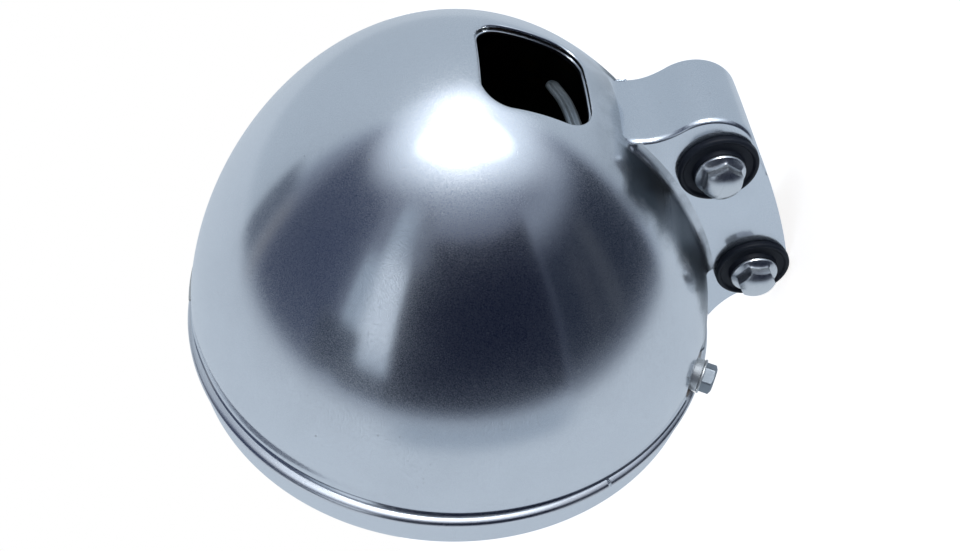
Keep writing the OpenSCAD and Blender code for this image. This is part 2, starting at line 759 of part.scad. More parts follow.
// A domed glass with a flat seat round its edge
module lens() {
    rise_r = lens_r - 3;
    step = 1.5;
    ball = (rise_r * rise_r + lens_bulge * lens_bulge) / (2 * lens_bulge);
    half = asin(rise_r / ball);
    in_r = rise_r - 2.5;
    in_bulge = lens_bulge + step - lens_t + 0.4;
    in_ball = (in_r * in_r + in_bulge * in_bulge) / (2 * in_bulge);
    in_half = asin(in_r / in_ball);
    color([0.8, 0.88, 0.9, 0.4]) lamp() rotate_extrude() polygon(concat(
        [[lens_r, lens_back], [lens_r, lens_front], [rise_r, lens_front]],
        [for (i = [0:8]) let (a = half * (1 - i / 8))
            [ball * sin(a), lens_front - step + ball * cos(half) - ball * cos(a)]],
        [for (i = [0:8]) let (a = in_half * i / 8)
            [in_ball * sin(a), lens_back - 0.4 + in_ball * cos(in_half) - in_ball * cos(a)]],
        [[in_r, lens_back]]));
}

module lens_gasket() {
    color([0.1, 0.1, 0.11]) lamp() ring(lens_r, lens_r - 2.2, lens_back, gasket_t);
}

function dish(z0, shift) = [for (i = [0:14])
    let (r = bowl_mouth_r - (bowl_mouth_r - neck_in) * i / 14)
    [r + shift * 0.7, z0 - r * r / (4 * focal) + shift * 0.8]];

module reflector() {
    inner = dish(vertex_z, 0);
    outer = dish(vertex_z, reflector_t);
    color("silver") lamp() {
        rotate_extrude() polygon(concat(
            [[lens_r + 0.3, flange_z]], inner,
            [[neck_in, neck_end - 1 - ledge_t], [bulb_r + 7, neck_end - 1 - ledge_t],
             [bulb_r + 7, neck_end - 1], [neck_in, neck_end - 1], [neck_in, neck_end],
             [neck_r, neck_end], [neck_r, outer[14][1] - 0.2]],
            [for (i = [13:-1:0]) outer[i]],
            [[lens_r + 0.3, flange_z + reflector_t]]));
        for (i = [0:lug_count - 1]) rotate([0, 0, i * 360 / lug_count])
            lug_arc(neck_r - 0.2, neck_r + lug_out, lug_z, lug_t, 0, lug_w);
    }
}

// A stretch of ring from one angle to another, under 180 degrees long
module lug_arc(r_in, r_out, z0, h, a0, a1) {
    big = 2 * r_out;
    intersection() {
        ring(r_out, r_in, z0, h);
        translate([0, 0, z0 - 1]) linear_extrude(h + 2)
            polygon([[0, 0], radial(a0, big), radial((a0 + a1) / 2, big), radial(a1, big)]);
    }
}

module bulb_retainer() {
    press_in = base_r + 1;
    lip_z = lug_z - loose - 1.2;
    color("silver") lamp() {
        ring(retainer_out, retainer_in, lip_z, retainer_z + retainer_t - lip_z);
        ring(retainer_out, press_in, retainer_z, retainer_t);
        for (i = [0:lug_count - 1]) rotate([0, 0, i * 360 / lug_count])
            lug_arc(neck_r + loose, retainer_in + 0.2, lip_z, 1.2, 1, lug_w - 1);
    }
}

module bulb_glass() {
    color([0.85, 0.9, 0.92, 0.5]) lamp() difference() {
        union() {
            translate([0, 0, lamp_z - bulb_len + bulb_r])
                cylinder(r = bulb_r, h = bulb_len - bulb_r);
            translate([0, 0, lamp_z - bulb_len + bulb_r]) sphere(bulb_r);
        }
        translate([0, 0, lamp_z - bulb_len + bulb_r])
            cylinder(r = bulb_r - 1, h = bulb_len - bulb_r - 4);
        translate([0, 0, lamp_z - bulb_len + bulb_r]) sphere(bulb_r - 1);
    }
}

module bulb_base() {
    color("lightgray") lamp() {
        translate([0, 0, lamp_z]) cylinder(r = neck_in - loose, h = retainer_z - lamp_z - 0.1);
        translate([0, 0, lamp_z]) cylinder(r = base_r, h = base_len);
    }
}

module bulb_contacts() {
    blade_w = 8;
    blade_t = 0.8;
    color("goldenrod") lamp() translate([0, 0, lamp_z + base_len]) {
        translate([-blade_w / 2, -7, 0]) cube([blade_w, blade_t, contact_len]);
        for (s = [-1, 1]) translate([s * 7.5 - blade_t / 2, -2, 0])
            cube([blade_t, blade_w, contact_len]);
    }
}

module dust_boot() {
    color([0.12, 0.12, 0.13]) lamp() rotate_extrude() polygon([
        [boot_in, boot_front], [boot_r, boot_front], [boot_r, boot_back], [boot_r - 2, boot_back + boot_t],
        [base_r + 3.5, boot_back + boot_t], [base_r + boot_t, boot_back + boot_t + 1],
        [base_r + boot_t, lamp_z + base_len - 0.5], [base_r, lamp_z + base_len - 0.5],
        [base_r, boot_back], [boot_in, boot_back]]);
}

bucket_shell();
mount_bracket();
wire_clamp();
grommet(rear_bolt, 1);  // grommet_rear_right
grommet(rear_bolt, -1);  // grommet_rear_left
grommet(front_bolt, 1);  // grommet_front_right
grommet(front_bolt, -1);  // grommet_front_left
mount_collars();
mount_bolts();
rim();
rim_band();
rim_gasket();
rim_hook();
rim_screw_tabs();
rim_screw_nuts();
rim_screw_collars();
rim_pivot_pins();
aim_spring(true);  // vertical_aim_spring
aim_clip(true);  // vertical_aim_clip
rim_washer(1);  // rim_washer_right
rim_washer(-1);  // rim_washer_left
rim_screw(1);  // rim_screw_right
rim_screw(-1);  // rim_screw_left
aim_screw(true);  // vertical_aim_screw
aim_ring();
beam_pivot_pins();
aim_nut(true);  // vertical_aim_nut
aim_spring(false);  // horizontal_aim_spring
aim_clip(false);  // horizontal_aim_clip
aim_screw(false);  // horizontal_aim_screw
beam_ring();
retaining_ring();
lens();
lens_gasket();
reflector();
aim_nut(false);  // horizontal_aim_nut
bulb_glass();
bulb_base();
bulb_contacts();
dust_boot();
bulb_retainer();
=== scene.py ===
"""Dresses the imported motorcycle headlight: chromed bucket and bracket, rim, bolts, lens and lamp."""

import logging
import math
from dataclasses import dataclass, field
from enum import Enum
from typing import Callable, Dict, List, Optional, Sequence, Tuple

import bmesh
import bpy
from mathutils import Matrix, Vector


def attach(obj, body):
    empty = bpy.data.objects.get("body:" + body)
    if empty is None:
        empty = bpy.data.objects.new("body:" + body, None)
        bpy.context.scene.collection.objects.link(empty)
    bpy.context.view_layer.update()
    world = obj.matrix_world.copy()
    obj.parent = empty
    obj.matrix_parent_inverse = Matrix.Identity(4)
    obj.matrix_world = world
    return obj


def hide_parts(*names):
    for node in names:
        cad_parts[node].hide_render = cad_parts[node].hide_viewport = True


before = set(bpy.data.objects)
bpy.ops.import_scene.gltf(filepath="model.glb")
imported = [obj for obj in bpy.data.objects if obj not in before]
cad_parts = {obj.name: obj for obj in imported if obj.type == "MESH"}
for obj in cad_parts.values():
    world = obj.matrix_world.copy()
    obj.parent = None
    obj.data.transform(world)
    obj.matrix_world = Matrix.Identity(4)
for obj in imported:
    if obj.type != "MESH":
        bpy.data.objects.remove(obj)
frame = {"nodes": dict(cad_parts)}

LOG = logging.getLogger("headlight")
MM = 0.001
AXIS_HEIGHT = 96.5
BEAD_FRONT = 57.0
TO_ROW = Matrix(((MM, 0, 0, 0), (0, 0, MM, -BEAD_FRONT * MM), (0, -MM, 0, AXIS_HEIGHT * MM), (0, 0, 0, 1)))

# Sizes in the lamp's frame are millimetres: Z is the lamp's axis, 0 at the bead, and Y points to the bracket.
SIDES = {"right": 1, "left": -1}
SCREW_TURN = 26.5  # degrees between a rim screw and the bracket's middle
SCREW_PLACES = (90 - SCREW_TURN, 90 + SCREW_TURN)
SCREW_HEIGHT = 3.0
SCREW_REACH = 90.0  # what lies nearer the lamp's axis doesn't belong to a rim screw
FLANGE_SIDE = 16.3
SHEET = 2.0
BOLTS = {"rear": (84.3, 82.2), "front": (108.7, 31.8)}

# Sizes in the row frame are metres.
# Middle of a rim screw's dish, round which the shell's colour is darkened as painted shade.
DISH_MIDDLE = (0.0428, -0.0540, 0.0106)
BUMP_DEPTH = 0.0002
OPEN_SIDE = 179  # degrees; a patch of the room that reaches further goes all the way round
WEAR_OUTPUTS = ("Pit Mask", "Haze Mask", "Scratch Mask", "Grain Mask", "Height")

Pair = Tuple[float, float]
Colour = Tuple[float, float, float]


def smooth(low: float, high: float, value: float) -> float:
    """Eases from 0 to 1 as a value goes from low to high."""
    t = min(max((value - low) / (high - low), 0.0), 1.0)
    return t * t * (3 - 2 * t)


def off_axis(point: Vector) -> float:
    """Distance of a point from the lamp's axis."""
    return math.hypot(point.x, point.y)


def leftward(point: Vector) -> float:
    """Share of the waist's deeper draw at a point: it lies round one quarter of the lamp."""
    return smooth(0.15, 0.4, point.x / off_axis(point)) * smooth(0.0, 0.6, -point.y / off_axis(point))


def at_radius(point: Vector, radius: float) -> Vector:
    """The point moved straight from the lamp's axis to a radius."""
    flat = Vector((point.x, point.y, 0)).normalized() * radius
    return Vector((flat.x, flat.y, point.z))


def wheel(radius: float, turn: float, z: float) -> Vector:
    """The point at a radius, an angle in radians and a height."""
    return Vector((radius * math.cos(turn), radius * math.sin(turn), z))


def put(name: str, data: bpy.types.ID) -> bpy.types.Object:
    """Makes an object of some data and links it into the scene.

    Args:
        name: the object's name.
        data: its mesh, light or camera.

    Returns:
        The object.
    """
    thing = bpy.data.objects.new(name, data)
    bpy.context.scene.collection.objects.link(thing)
    return thing


def bezier(a: Pair, b: Pair, c: Pair, count: int) -> List[Pair]:
    """Points of a quadratic curve, its start left out.

    Args:
        a: start point.
        b: control point.
        c: end point.
        count: number of points.

    Returns:
        The points after the start, the end among them.
    """
    points = []
    for i in range(1, count + 1):
        t = i / count
        points.append(tuple((1 - t) ** 2 * a[k] + 2 * t * (1 - t) * b[k] + t * t * c[k] for k in (0, 1)))
    return points


def arc(mid: Pair, radius: float, start: float, end: float, count: int) -> List[Pair]:
    """Points of an arc, both ends among them.

    Args:
        mid: centre.
        radius: radius.
        start: first angle in degrees.
        end: last angle in degrees.
        count: number of steps.

    Returns:
        The points in order.
    """
    points = []
    for i in range(count + 1):
        a = math.radians(start + (end - start) * i / count)
        points.append((mid[0] + radius * math.cos(a), mid[1] + radius * math.sin(a)))
    return points


class Sharp(Enum):
    """How steep an edge has to be, in degrees, before its shading breaks."""

    SOFT = 60.0
    NORMAL = 32.0
    CRISP = 20.0


class Finish(Enum):
    """The record's material slots."""

    SHELL = "shell_chrome"
    RIM = "rim_chrome"
    BOLT = "bolt_chrome"
    RUBBER = "rubber_black"
    STEEL = "plain_steel"
    DARK = "dark_steel"
    LENS = "clear_glass"
    BULB = "bulb_glass"
    MIRROR = "mirror_metal"


class Workshop:
    """Mesh helpers that every sub-assembly uses. Lengths are lamp millimetres."""

    @staticmethod
    def spun(section: Sequence[Pair], steps: int = 192, closed: bool = True) -> bmesh.types.BMesh:
        """Spins a section of radius and height round the lamp's axis.

        Args:
            section: points of radius and height.
            steps: number of steps round.
            closed: whether the section's last point joins its first.

        Returns:
            The spun mesh, its normals outwards.
        """
        bm = bmesh.new()
        verts = [bm.verts.new((r, 0, z)) for r, z in section]
        for i in range(len(verts) - 1):
            bm.edges.new((verts[i], verts[i + 1]))
        if closed:
            bm.edges.new((verts[-1], verts[0]))
        bmesh.ops.spin(bm, geom=bm.verts[:] + bm.edges[:], cent=(0, 0, 0), axis=(0, 0, 1),
                       angle=2 * math.pi, steps=steps, use_merge=True)
        bmesh.ops.remove_doubles(bm, verts=bm.verts[:], dist=1e-4)
        return Workshop.outward(bm)

    @staticmethod
    def sheet(columns: int, rows: int, place: Callable[[float, float], Sequence[float]],
              weld: float = 1e-4) -> bmesh.types.BMesh:
        """Lays a grid on a surface.

        Args:
            columns: cells across.
            rows: cells along.
            place: gives a point of the surface for shares across and along.
            weld: distance under which points are joined.

        Returns:
            The mesh, open where the surface is.
        """
        bm = bmesh.new()
        bmesh.ops.create_grid(bm, x_segments=columns, y_segments=rows, size=0.5)
        for v in bm.verts:
            v.co = Vector(place(v.co.x + 0.5, v.co.y + 0.5))
        bmesh.ops.remove_doubles(bm, verts=bm.verts[:], dist=weld)
        return bm

    @staticmethod
    def drop(bm: bmesh.types.BMesh, gone: Callable[[bmesh.types.BMFace], bool]) -> None:
        """Deletes the faces that a test picks."""
        bmesh.ops.delete(bm, geom=[f for f in bm.faces if gone(f)], context="FACES")

    @staticmethod
    def outward(bm: bmesh.types.BMesh) -> bmesh.types.BMesh:
        """Turns a mesh's faces outwards."""
        bmesh.ops.recalc_face_normals(bm, faces=bm.faces[:])
        return bm

    @staticmethod
    def turned(bm: bmesh.types.BMesh, facing: float) -> bmesh.types.BMesh:
        """Turns a mesh's faces over where they face the wrong way.

        Args:
            bm: the mesh, changed in place.
            facing: a measure of how its faces stand, below 0 where they face the wrong way.

        Returns:
            The same mesh.
        """
        if facing < 0:
            bmesh.ops.reverse_faces(bm, faces=bm.faces[:])
        return bm

    @staticmethod
    def capped(bm: bmesh.types.BMesh) -> bmesh.types.BMesh:
        """Closes a mesh's open ends and turns its faces outwards."""
        bmesh.ops.holes_fill(bm, edges=[e for e in bm.edges if e.is_boundary], sides=0)
        return Workshop.outward(bm)

    @staticmethod
    def sweep(section: Sequence[Pair], start: float, end: float, count: int) -> bmesh.types.BMesh:
        """Sweeps a closed section of radius and height round the lamp's axis, and caps its ends.

        Args:
            section: points of radius and height.
            start: first angle in degrees.
            end: last angle in degrees.
            count: number of steps.

        Returns:
            The mesh.
        """
        size = len(section)
        first, last = math.radians(start), math.radians(end)

        def place(u: float, v: float) -> Vector:
            """Point of the sweep at a share round the section and a share along."""
            radius, z = section[round(u * size) % size]
            return wheel(radius, first + (last - first) * v, z)

        return Workshop.capped(Workshop.sheet(size, count, place))

    @staticmethod
    def tube(path: Sequence[Vector], radius: float, sides: int) -> bmesh.types.BMesh:
        """Runs a round rod along a path.

        Args:
            path: points of the middle line.
            radius: radius of the rod.
            sides: number of sides.

        Returns:
            The rod's mesh.
        """
        frames = []
        side = None
        for i, point in enumerate(path):
            ahead = (path[min(i + 1, len(path) - 1)] - path[max(i - 1, 0)]).normalized()
            if side is None:
                side = ahead.orthogonal().normalized()
            side = (side - ahead * side.dot(ahead)).normalized()
            frames.append((point, side, ahead.cross(side)))
        count = len(path) - 1

        def place(u: float, v: float) -> Vector:
            """Point of the rod's wall at a share round and a share along.

            Args:
                u: share across or round.
                v: share along.

            Returns:
                The point.
            """
            point, a, b = frames[round(v * count)]
            turn = 2 * math.pi * u
            return point + radius * (math.cos(turn) * a + math.sin(turn) * b)

        return Workshop.capped(Workshop.sheet(sides, count, place, weld=radius * 0.05))

    @staticmethod
    def join(parts: Sequence[bmesh.types.BMesh]) -> bmesh.types.BMesh:
        """Puts several meshes into the first one.

        Args:
            parts: the meshes; all but the first are freed.

        Returns:
            The first mesh, with the others in it.
        """
        for part in parts[1:]:
            spare = bpy.data.meshes.new("spare")
            part.to_mesh(spare)
            part.free()
            parts[0].from_mesh(spare)
            bpy.data.meshes.remove(spare)
        return parts[0]

    @staticmethod
    def moved(bm: bmesh.types.BMesh, matrix: Matrix) -> bmesh.types.BMesh:
        """Moves a mesh and keeps its faces outwards where the move mirrors it."""
        bmesh.ops.transform(bm, matrix=matrix, verts=bm.verts[:])
        return Workshop.turned(bm, matrix.determinant())

    @staticmethod
    def finish(name: str, bm: bmesh.types.BMesh, body: str, finish: Finish, replaces: Sequence[str],
               materials: Sequence[bpy.types.Material], sharp: Sharp = Sharp.NORMAL) -> bpy.types.Object:
        """Makes a lamp-frame mesh a piece in the row frame, riding on a body.

        Args:
            name: the piece's name.
            bm: its mesh in lamp millimetres; it is freed.
            body: the body it rides on.
            finish: not used.
            replaces: the nodes that it stands for.
            materials: its materials, in slot order.
            sharp: where its shading breaks.

        Returns:
            The new object.
        """
        bmesh.ops.transform(bm, matrix=TO_ROW, verts=bm.verts[:])
        limit = math.radians(sharp.value)
        for edge in bm.edges:
            edge.smooth = len(edge.link_faces) == 2 and edge.calc_face_angle(0.0) < limit
        for face in bm.faces:
            face.smooth = True
        mesh = bpy.data.meshes.new(name)
        bm.to_mesh(mesh)
        bm.free()
        for material in materials:
            mesh.materials.append(material)
        piece = put(name, mesh)
        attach(piece, body)
        if replaces:
            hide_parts(*replaces)
        LOG.info("%s: %d faces on %s", name, len(mesh.polygons), body)
        return piece


class NodeBench:
    """Adds and links shader nodes in a tree."""

    def __init__(self, tree: bpy.types.NodeTree) -> None:
        """Keeps the tree to work on."""
        self.tree = tree

    def feed(self, node: bpy.types.Node, inputs: Dict) -> None:
        """Gives a node's inputs their values.

        Args:
            node: the node.
            inputs: input name or number to a value or to a socket to link.
        """
        for key, value in inputs.items():
            if isinstance(value, bpy.types.NodeSocket):
                self.tree.links.new(value, node.inputs[key])
            else:
                node.inputs[key].default_value = value

    def add(self, kind: str, inputs: Optional[Dict] = None, **settings: object) -> bpy.types.Node:
        """Adds a node.

        Args:
            kind: the node's type name.
            inputs: input name or number to a value or to a socket to link.
            settings: the node's own settings.

        Returns:
            The node.
        """
        node = self.tree.nodes.new(kind)
        for key, value in settings.items():
            setattr(node, key, value)
        self.feed(node, inputs or {})
        return node

    def math(self, operation: str, a: object, b: object = 0.0, c: object = 0.0) -> bpy.types.NodeSocket:
        """Adds a math node and returns its output."""
        return self.add("ShaderNodeMath", {0: a, 1: b, 2: c}, operation=operation).outputs[0]

    def times(self, a: object, b: object) -> bpy.types.NodeSocket:
        """Multiplies two values and returns the output."""
        return self.math("MULTIPLY", a, b)

    def plus(self, a: object, b: object, c: object) -> bpy.types.NodeSocket:
        """Adds the product of the first two values to the third and returns the output."""
        return self.math("MULTIPLY_ADD", a, b, c)

    def noise(self, vector: bpy.types.NodeSocket, scale: float, detail: float, **more: float) -> bpy.types.NodeSocket:
        """Adds a noise texture and returns its value."""
        inputs = {"Vector": vector, "Scale": scale, "Detail": detail, **more}
        return self.add("ShaderNodeTexNoise", inputs).outputs["Fac"]

    def ease(self, value: object, low: float, high: float, start: float = 0.0,
             end: float = 1.0) -> bpy.types.NodeSocket:
        """Eases a value from one range to another and returns the output.

        Args:
            value: the value to ease.
            low: start of its range.
            high: end of its range.
            start: result at the start.
            end: result at the end.

        Returns:
            The output.
        """
        return self.add("ShaderNodeMapRange", {"Value": value, "From Min": low, "From Max": high,
                                               "To Min": start, "To Max": end},
                        interpolation_type="SMOOTHSTEP").outputs["Result"]

    def blend(self, share: object, a: object, b: object) -> bpy.types.NodeSocket:
        """Mixes two colours by a share and returns the output.

        Args:
            share: share of the second colour.
            a: first colour.
            b: second colour.

        Returns:
            The output.
        """
        node = self.add("ShaderNodeMix", data_type="RGBA")
        self.feed(node, {number: (*value, 1.0) if isinstance(value, tuple) else value
                         for number, value in ((0, share), (6, a), (7, b))})
        return node.outputs[2]


class EffectGroups:
    """Shader node groups for the effects that several finishes share."""

    def __init__(self) -> None:
        """Builds each group once."""
        self.wear = self._wear()
        self.streaks = self._streaks()

    @staticmethod
    def _new(name: str, inputs: Dict[str, float],
             outputs: Sequence[str]) -> Tuple[NodeBench, bpy.types.bpy_prop_collection, bpy.types.Node]:
        """Starts a group with a vector input, float inputs and float outputs.

        Args:
            name: the group's name.
            inputs: the float inputs and their values.
            outputs: names of the float outputs.

        Returns:
            The group's bench, the sockets that come in and the node that the outputs go to.
        """
        tree = bpy.data.node_groups.new(name, "ShaderNodeTree")
        tree.interface.new_socket("Vector", in_out="INPUT", socket_type="NodeSocketVector")
        for key, value in inputs.items():
            tree.interface.new_socket(key, in_out="INPUT", socket_type="NodeSocketFloat").default_value = value
        for key in outputs:
            tree.interface.new_socket(key, in_out="OUTPUT", socket_type="NodeSocketFloat")
        bench = NodeBench(tree)
        return bench, bench.add("NodeGroupInput").outputs, bench.add("NodeGroupOutput")

    def _wear(self) -> bpy.types.NodeTree:
        """Old plate: pits, cloudy haze, fine scratches and a fine grain, each as its own mask.

        Returns:
            The group.
        """
        bench, source, target = self._new("plate_wear", {"Pits": 1.0, "Scratches": 1.0}, WEAR_OUTPUTS)
        vector = source["Vector"]
        ragged = bench.add("ShaderNodeTexNoise", {"Vector": vector, "Scale": 1300.0, "Detail": 2.0})
        shaken = bench.add("ShaderNodeVectorMath", {0: ragged.outputs["Color"], 1: (0.0007, 0.0007, 0.0007), 2: vector},
                           operation="MULTIPLY_ADD").outputs[0]
        clump = bench.ease(bench.noise(vector, 30.0, 4.0), 0.52, 0.68)
        dots = []
        for scale, rare, reach in ((230.0, 0.90, 0.13), (620.0, 0.84, 0.22)):
            cells = bench.add("ShaderNodeTexVoronoi", {"Vector": shaken, "Scale": scale, "Randomness": 1.0})
            pick = bench.add("ShaderNodeSeparateColor", {"Color": cells.outputs["Color"]})
            size = bench.ease(pick.outputs[0], rare, 1.0, 0.0, reach)
            dots.append(bench.ease(bench.math("SUBTRACT", size, cells.outputs["Distance"]), 0.0, 0.10))
        pits = bench.times(bench.times(bench.math("MAXIMUM", *dots), clump), source["Pits"])
        cloud = bench.noise(vector, 16.0, 7.0, Roughness=0.62)
        grain = bench.noise(vector, 9000.0, 1.0)
        fine = bench.ease(grain, 0.46, 0.62)
        haze = bench.times(bench.ease(cloud, 0.36, 0.68), bench.ease(grain, 0.3, 0.75, 0.35, 1.0))
        lines = []
        for turn, scale in ((0.5, (900.0, 26.0, 300.0)), (1.9, (300.0, 30.0, 1000.0)), (2.7, (40.0, 950.0, 500.0))):
            bend = bench.add("ShaderNodeMapping", {"Vector": vector, "Rotation": (turn, turn * 1.7, turn * 0.6),
                                                   "Scale": scale})
            lines.append(bench.ease(bench.noise(bend.outputs["Vector"], 1.0, 2.0), 0.70, 0.78))
        scratch = bench.math("MAXIMUM", bench.math("MAXIMUM", lines[0], lines[1]), lines[2])
        scratch = bench.times(scratch, source["Scratches"])
        wave = bench.noise(vector, 70.0, 2.0)
        ripple = bench.noise(vector, 420.0, 3.0)
        height = bench.plus(pits, -0.5, bench.times(wave, 0.3))
        height = bench.plus(scratch, -0.12, bench.plus(ripple, 0.10, height))
        bench.feed(target, dict(zip(WEAR_OUTPUTS, (pits, haze, scratch, fine, height))))
        return bench.tree

    def _streaks(self) -> bpy.types.NodeTree:
        """Brushed streaks that run round the lamp's axis, as a mask and a height.

        Returns:
            The group.
        """
        bench, source, target = self._new("brushed_streaks", {"Count": 6.0, "Across": 2600.0}, ["Mask", "Height"])
        axes = bench.add("ShaderNodeSeparateXYZ", {"Vector": source["Vector"]}).outputs
        rise = bench.math("SUBTRACT", axes["Z"], AXIS_HEIGHT * MM)
        turn = bench.math("ARCTAN2", rise, axes["X"])
        squares = bench.math("ADD", bench.times(rise, rise), bench.times(axes["X"], axes["X"]))
        depth = bench.math("ADD", axes["Y"], bench.math("SQRT", squares))
        place = bench.add("ShaderNodeCombineXYZ", {"X": bench.times(turn, source["Count"]),
                                                   "Y": bench.times(depth, source["Across"]), "Z": 0.0})
        noise = bench.noise(place.outputs["Vector"], 1.0, 4.0)
        bench.feed(target, {"Mask": bench.ease(noise, 0.35, 0.68), "Height": noise})
        return bench.tree


def begin(name: str, groups: EffectGroups) -> Tuple[bpy.types.Material, NodeBench, bpy.types.Node,
                                                    bpy.types.NodeSocket, bpy.types.Node]:
    """Starts a material with the wear group on its object coordinates.

    Args:
        name: the material's name.
        groups: the shared effect groups.

    Returns:
        The material, its bench, its shader, the coordinates and the wear node.
    """
    material = bpy.data.materials.new(name)
    material.use_nodes = True
    bench = NodeBench(material.node_tree)
    place = bench.add("ShaderNodeTexCoord").outputs["Object"]
    wear = bench.add("ShaderNodeGroup", {"Vector": place}, node_tree=groups.wear)
    return material, bench, material.node_tree.nodes["Principled BSDF"], place, wear


@dataclass(frozen=True)
class MetalFinish:
    """A plated, pressed or machined metal, with its wear, and painted shade beside the bracket where a crease is set.
    """

    name: str
    colour: Colour
    roughness: float
    haze: float = 0.16
    spread: float = 0.16
    pits: float = 1.0
    scratches: float = 1.0
    bump: float = 0.3
    stain: Colour = (0.16, 0.14, 0.13)
    streak_count: float = 0.0
    streak_across: float = 2600.0
    streak_colour: float = 0.25
    rust: float = 0.0
    crease: float = 0.0

    def darker(self, share: float) -> Colour:
        """The finish's colour at a share of its brightness."""
        return tuple(c * share for c in self.colour)

    @staticmethod
    def flank_haze_and_shade(bench: NodeBench, place: bpy.types.NodeSocket) -> bpy.types.NodeSocket:
        """Mask of the flanks beside the bracket and of the rim screws' dishes: there the finish is hazier, and painted
        shade and dark reflection darken its colour.

        Args:
            bench: the material's node bench.
            place: the object coordinates.

        Returns:
            The mask's socket.
        """
        axes = bench.add("ShaderNodeSeparateXYZ", {"Vector": place}).outputs
        off = bench.math("ABSOLUTE", axes["X"])
        shade = bench.noise(place, 95.0, 6.0, Roughness=0.6)
        edge = bench.plus(shade, 0.012, off)
        rise = bench.plus(shade, 0.008, axes["Z"])
        side = bench.times(bench.ease(edge, 0.036, 0.047, 1.0, 0.0), bench.ease(off, 0.0163, 0.0190))
        band = bench.times(side, bench.ease(rise, 0.047, 0.055, 1.0, 0.0))
        middle = bench.math("ABSOLUTE", bench.math("SUBTRACT", axes["Z"], 0.029))
        band = bench.times(band, bench.ease(middle, 0.0, 0.008, 0.72, 1.0))
        behind = bench.ease(axes["Y"], -0.06, 0.0, 0.5, 1.0)
        near = bench.times(bench.ease(off, 0.016, 0.036, 1.0, 0.0), bench.ease(rise, 0.050, 0.068, 1.0, 0.0))
        near = bench.times(near, bench.ease(shade, 0.36, 0.62, 0.12, 0.42))
        # Painted shade and dark reflection beside the bracket's flanks, ragged by noise.
        painted_shade_zone = bench.times(bench.math("MAXIMUM", band, near), behind)
        # Painted shade in the rim screws' dishes.
        gaps = [bench.math("SUBTRACT", *pair) for pair in zip((off, axes["Y"], axes["Z"]), DISH_MIDDLE)]
        square = bench.times(gaps[0], gaps[0])
        for gap in gaps[1:]:
            square = bench.plus(gap, gap, square)
        return bench.math("MAXIMUM", painted_shade_zone, bench.ease(square, 9.0e-5, 2.1e-4, 0.9, 0.0))

    def build(self, groups: EffectGroups) -> bpy.types.Material:
        """Makes the material.

        Args:
            groups: the shared effect groups.

        Returns:
            The finished material.
        """
        material, bench, shader, place, wear = begin(self.name, groups)
        bench.feed(wear, {"Pits": self.pits, "Scratches": self.scratches})
        pits, haze, scratch, grain, height = (wear.outputs[key] for key in WEAR_OUTPUTS)
        colour = bench.blend(bench.times(haze, 0.30), self.colour, self.darker(0.80))
        colour = bench.blend(bench.times(grain, 0.18), colour, self.darker(0.84))
        colour = bench.blend(bench.times(pits, 0.7), colour, self.stain)
        if self.rust:
            share = bench.ease(bench.noise(place, 60.0, 6.0), 0.55, 0.66, 0.0, self.rust)
            colour = bench.blend(share, colour, (0.13, 0.07, 0.035))
        rough = self.roughness
        for mask, weight in ((haze, self.haze), (grain, self.spread), (scratch, 0.10), (pits, 0.35)):
            rough = bench.plus(mask, weight, rough)
        if self.crease:
            # The crease adds haze, and within its mask the colour darkens to dark blue-grey as painted shade and dark
            # reflection.
            flank_haze_and_shade = self.flank_haze_and_shade(bench, place)
            rough = bench.plus(flank_haze_and_shade, self.crease, rough)
            colour = bench.blend(bench.times(flank_haze_and_shade, 0.92), colour, (0.075, 0.10, 0.125))
        if self.streak_count:
            streaks = bench.add("ShaderNodeGroup", {"Vector": place, "Count": self.streak_count,
                                                    "Across": self.streak_across}, node_tree=groups.streaks)
            colour = bench.blend(bench.times(streaks.outputs["Mask"], self.streak_colour), colour, self.darker(0.45))
            rough = bench.plus(streaks.outputs["Mask"], 0.12, rough)
            height = bench.plus(streaks.outputs["Height"], 0.12, height)
        bump = bench.add("ShaderNodeBump", {"Height": height, "Strength": self.bump, "Distance": BUMP_DEPTH})
        bench.feed(shader, {"Metallic": 1.0, "Base Color": colour, "Roughness": rough,
                            "Normal": bump.outputs["Normal"]})
        return material


@dataclass(frozen=True)
class SoftFinish:
    """Rubber or moulded plastic, with dust and a fine grain."""

    name: str
    colour: Colour
    dust: Colour
    roughness: float
    dustiness: float = 0.35
    gloss: float = 0.5

    def build(self, groups: EffectGroups) -> bpy.types.Material:
        """Makes the material.

        Args:
            groups: the shared effect groups.

        Returns:
            The finished material.
        """
        material, bench, shader, place, wear = begin(self.name, groups)
        fine = bench.noise(place, 420.0, 5.0)
        colour = bench.blend(bench.times(wear.outputs["Haze Mask"], self.dustiness), self.colour, self.dust)
        rough = bench.plus(fine, 0.22, self.roughness - 0.1)
        height = bench.plus(wear.outputs["Pit Mask"], -0.5, fine)
        bump = bench.add("ShaderNodeBump", {"Height": height, "Strength": 0.25, "Distance": BUMP_DEPTH})
        bench.feed(shader, {"Specular IOR Level": self.gloss, "Base Color": colour, "Roughness": rough,
                            "Normal": bump.outputs["Normal"]})
        return material


@dataclass(frozen=True)
class GlassFinish:
    """Clear glass with a faint tint, and a little dust in its gloss."""

    name: str
    colour: Colour
    roughness: float

    def build(self, groups: EffectGroups) -> bpy.types.Material:
        """Makes the material.

        Args:
            groups: the shared effect groups.

        Returns:
            The finished material.
        """
        material, bench, shader, _, wear = begin(self.name, groups)
        bench.feed(wear, {"Pits": 0.0})
        rough = bench.plus(wear.outputs["Haze Mask"], 0.04, self.roughness)
        bench.feed(shader, {"Base Color": (*self.colour, 1.0), "Transmission Weight": 1.0, "IOR": 1.5,
                            "Roughness": rough})
        return material


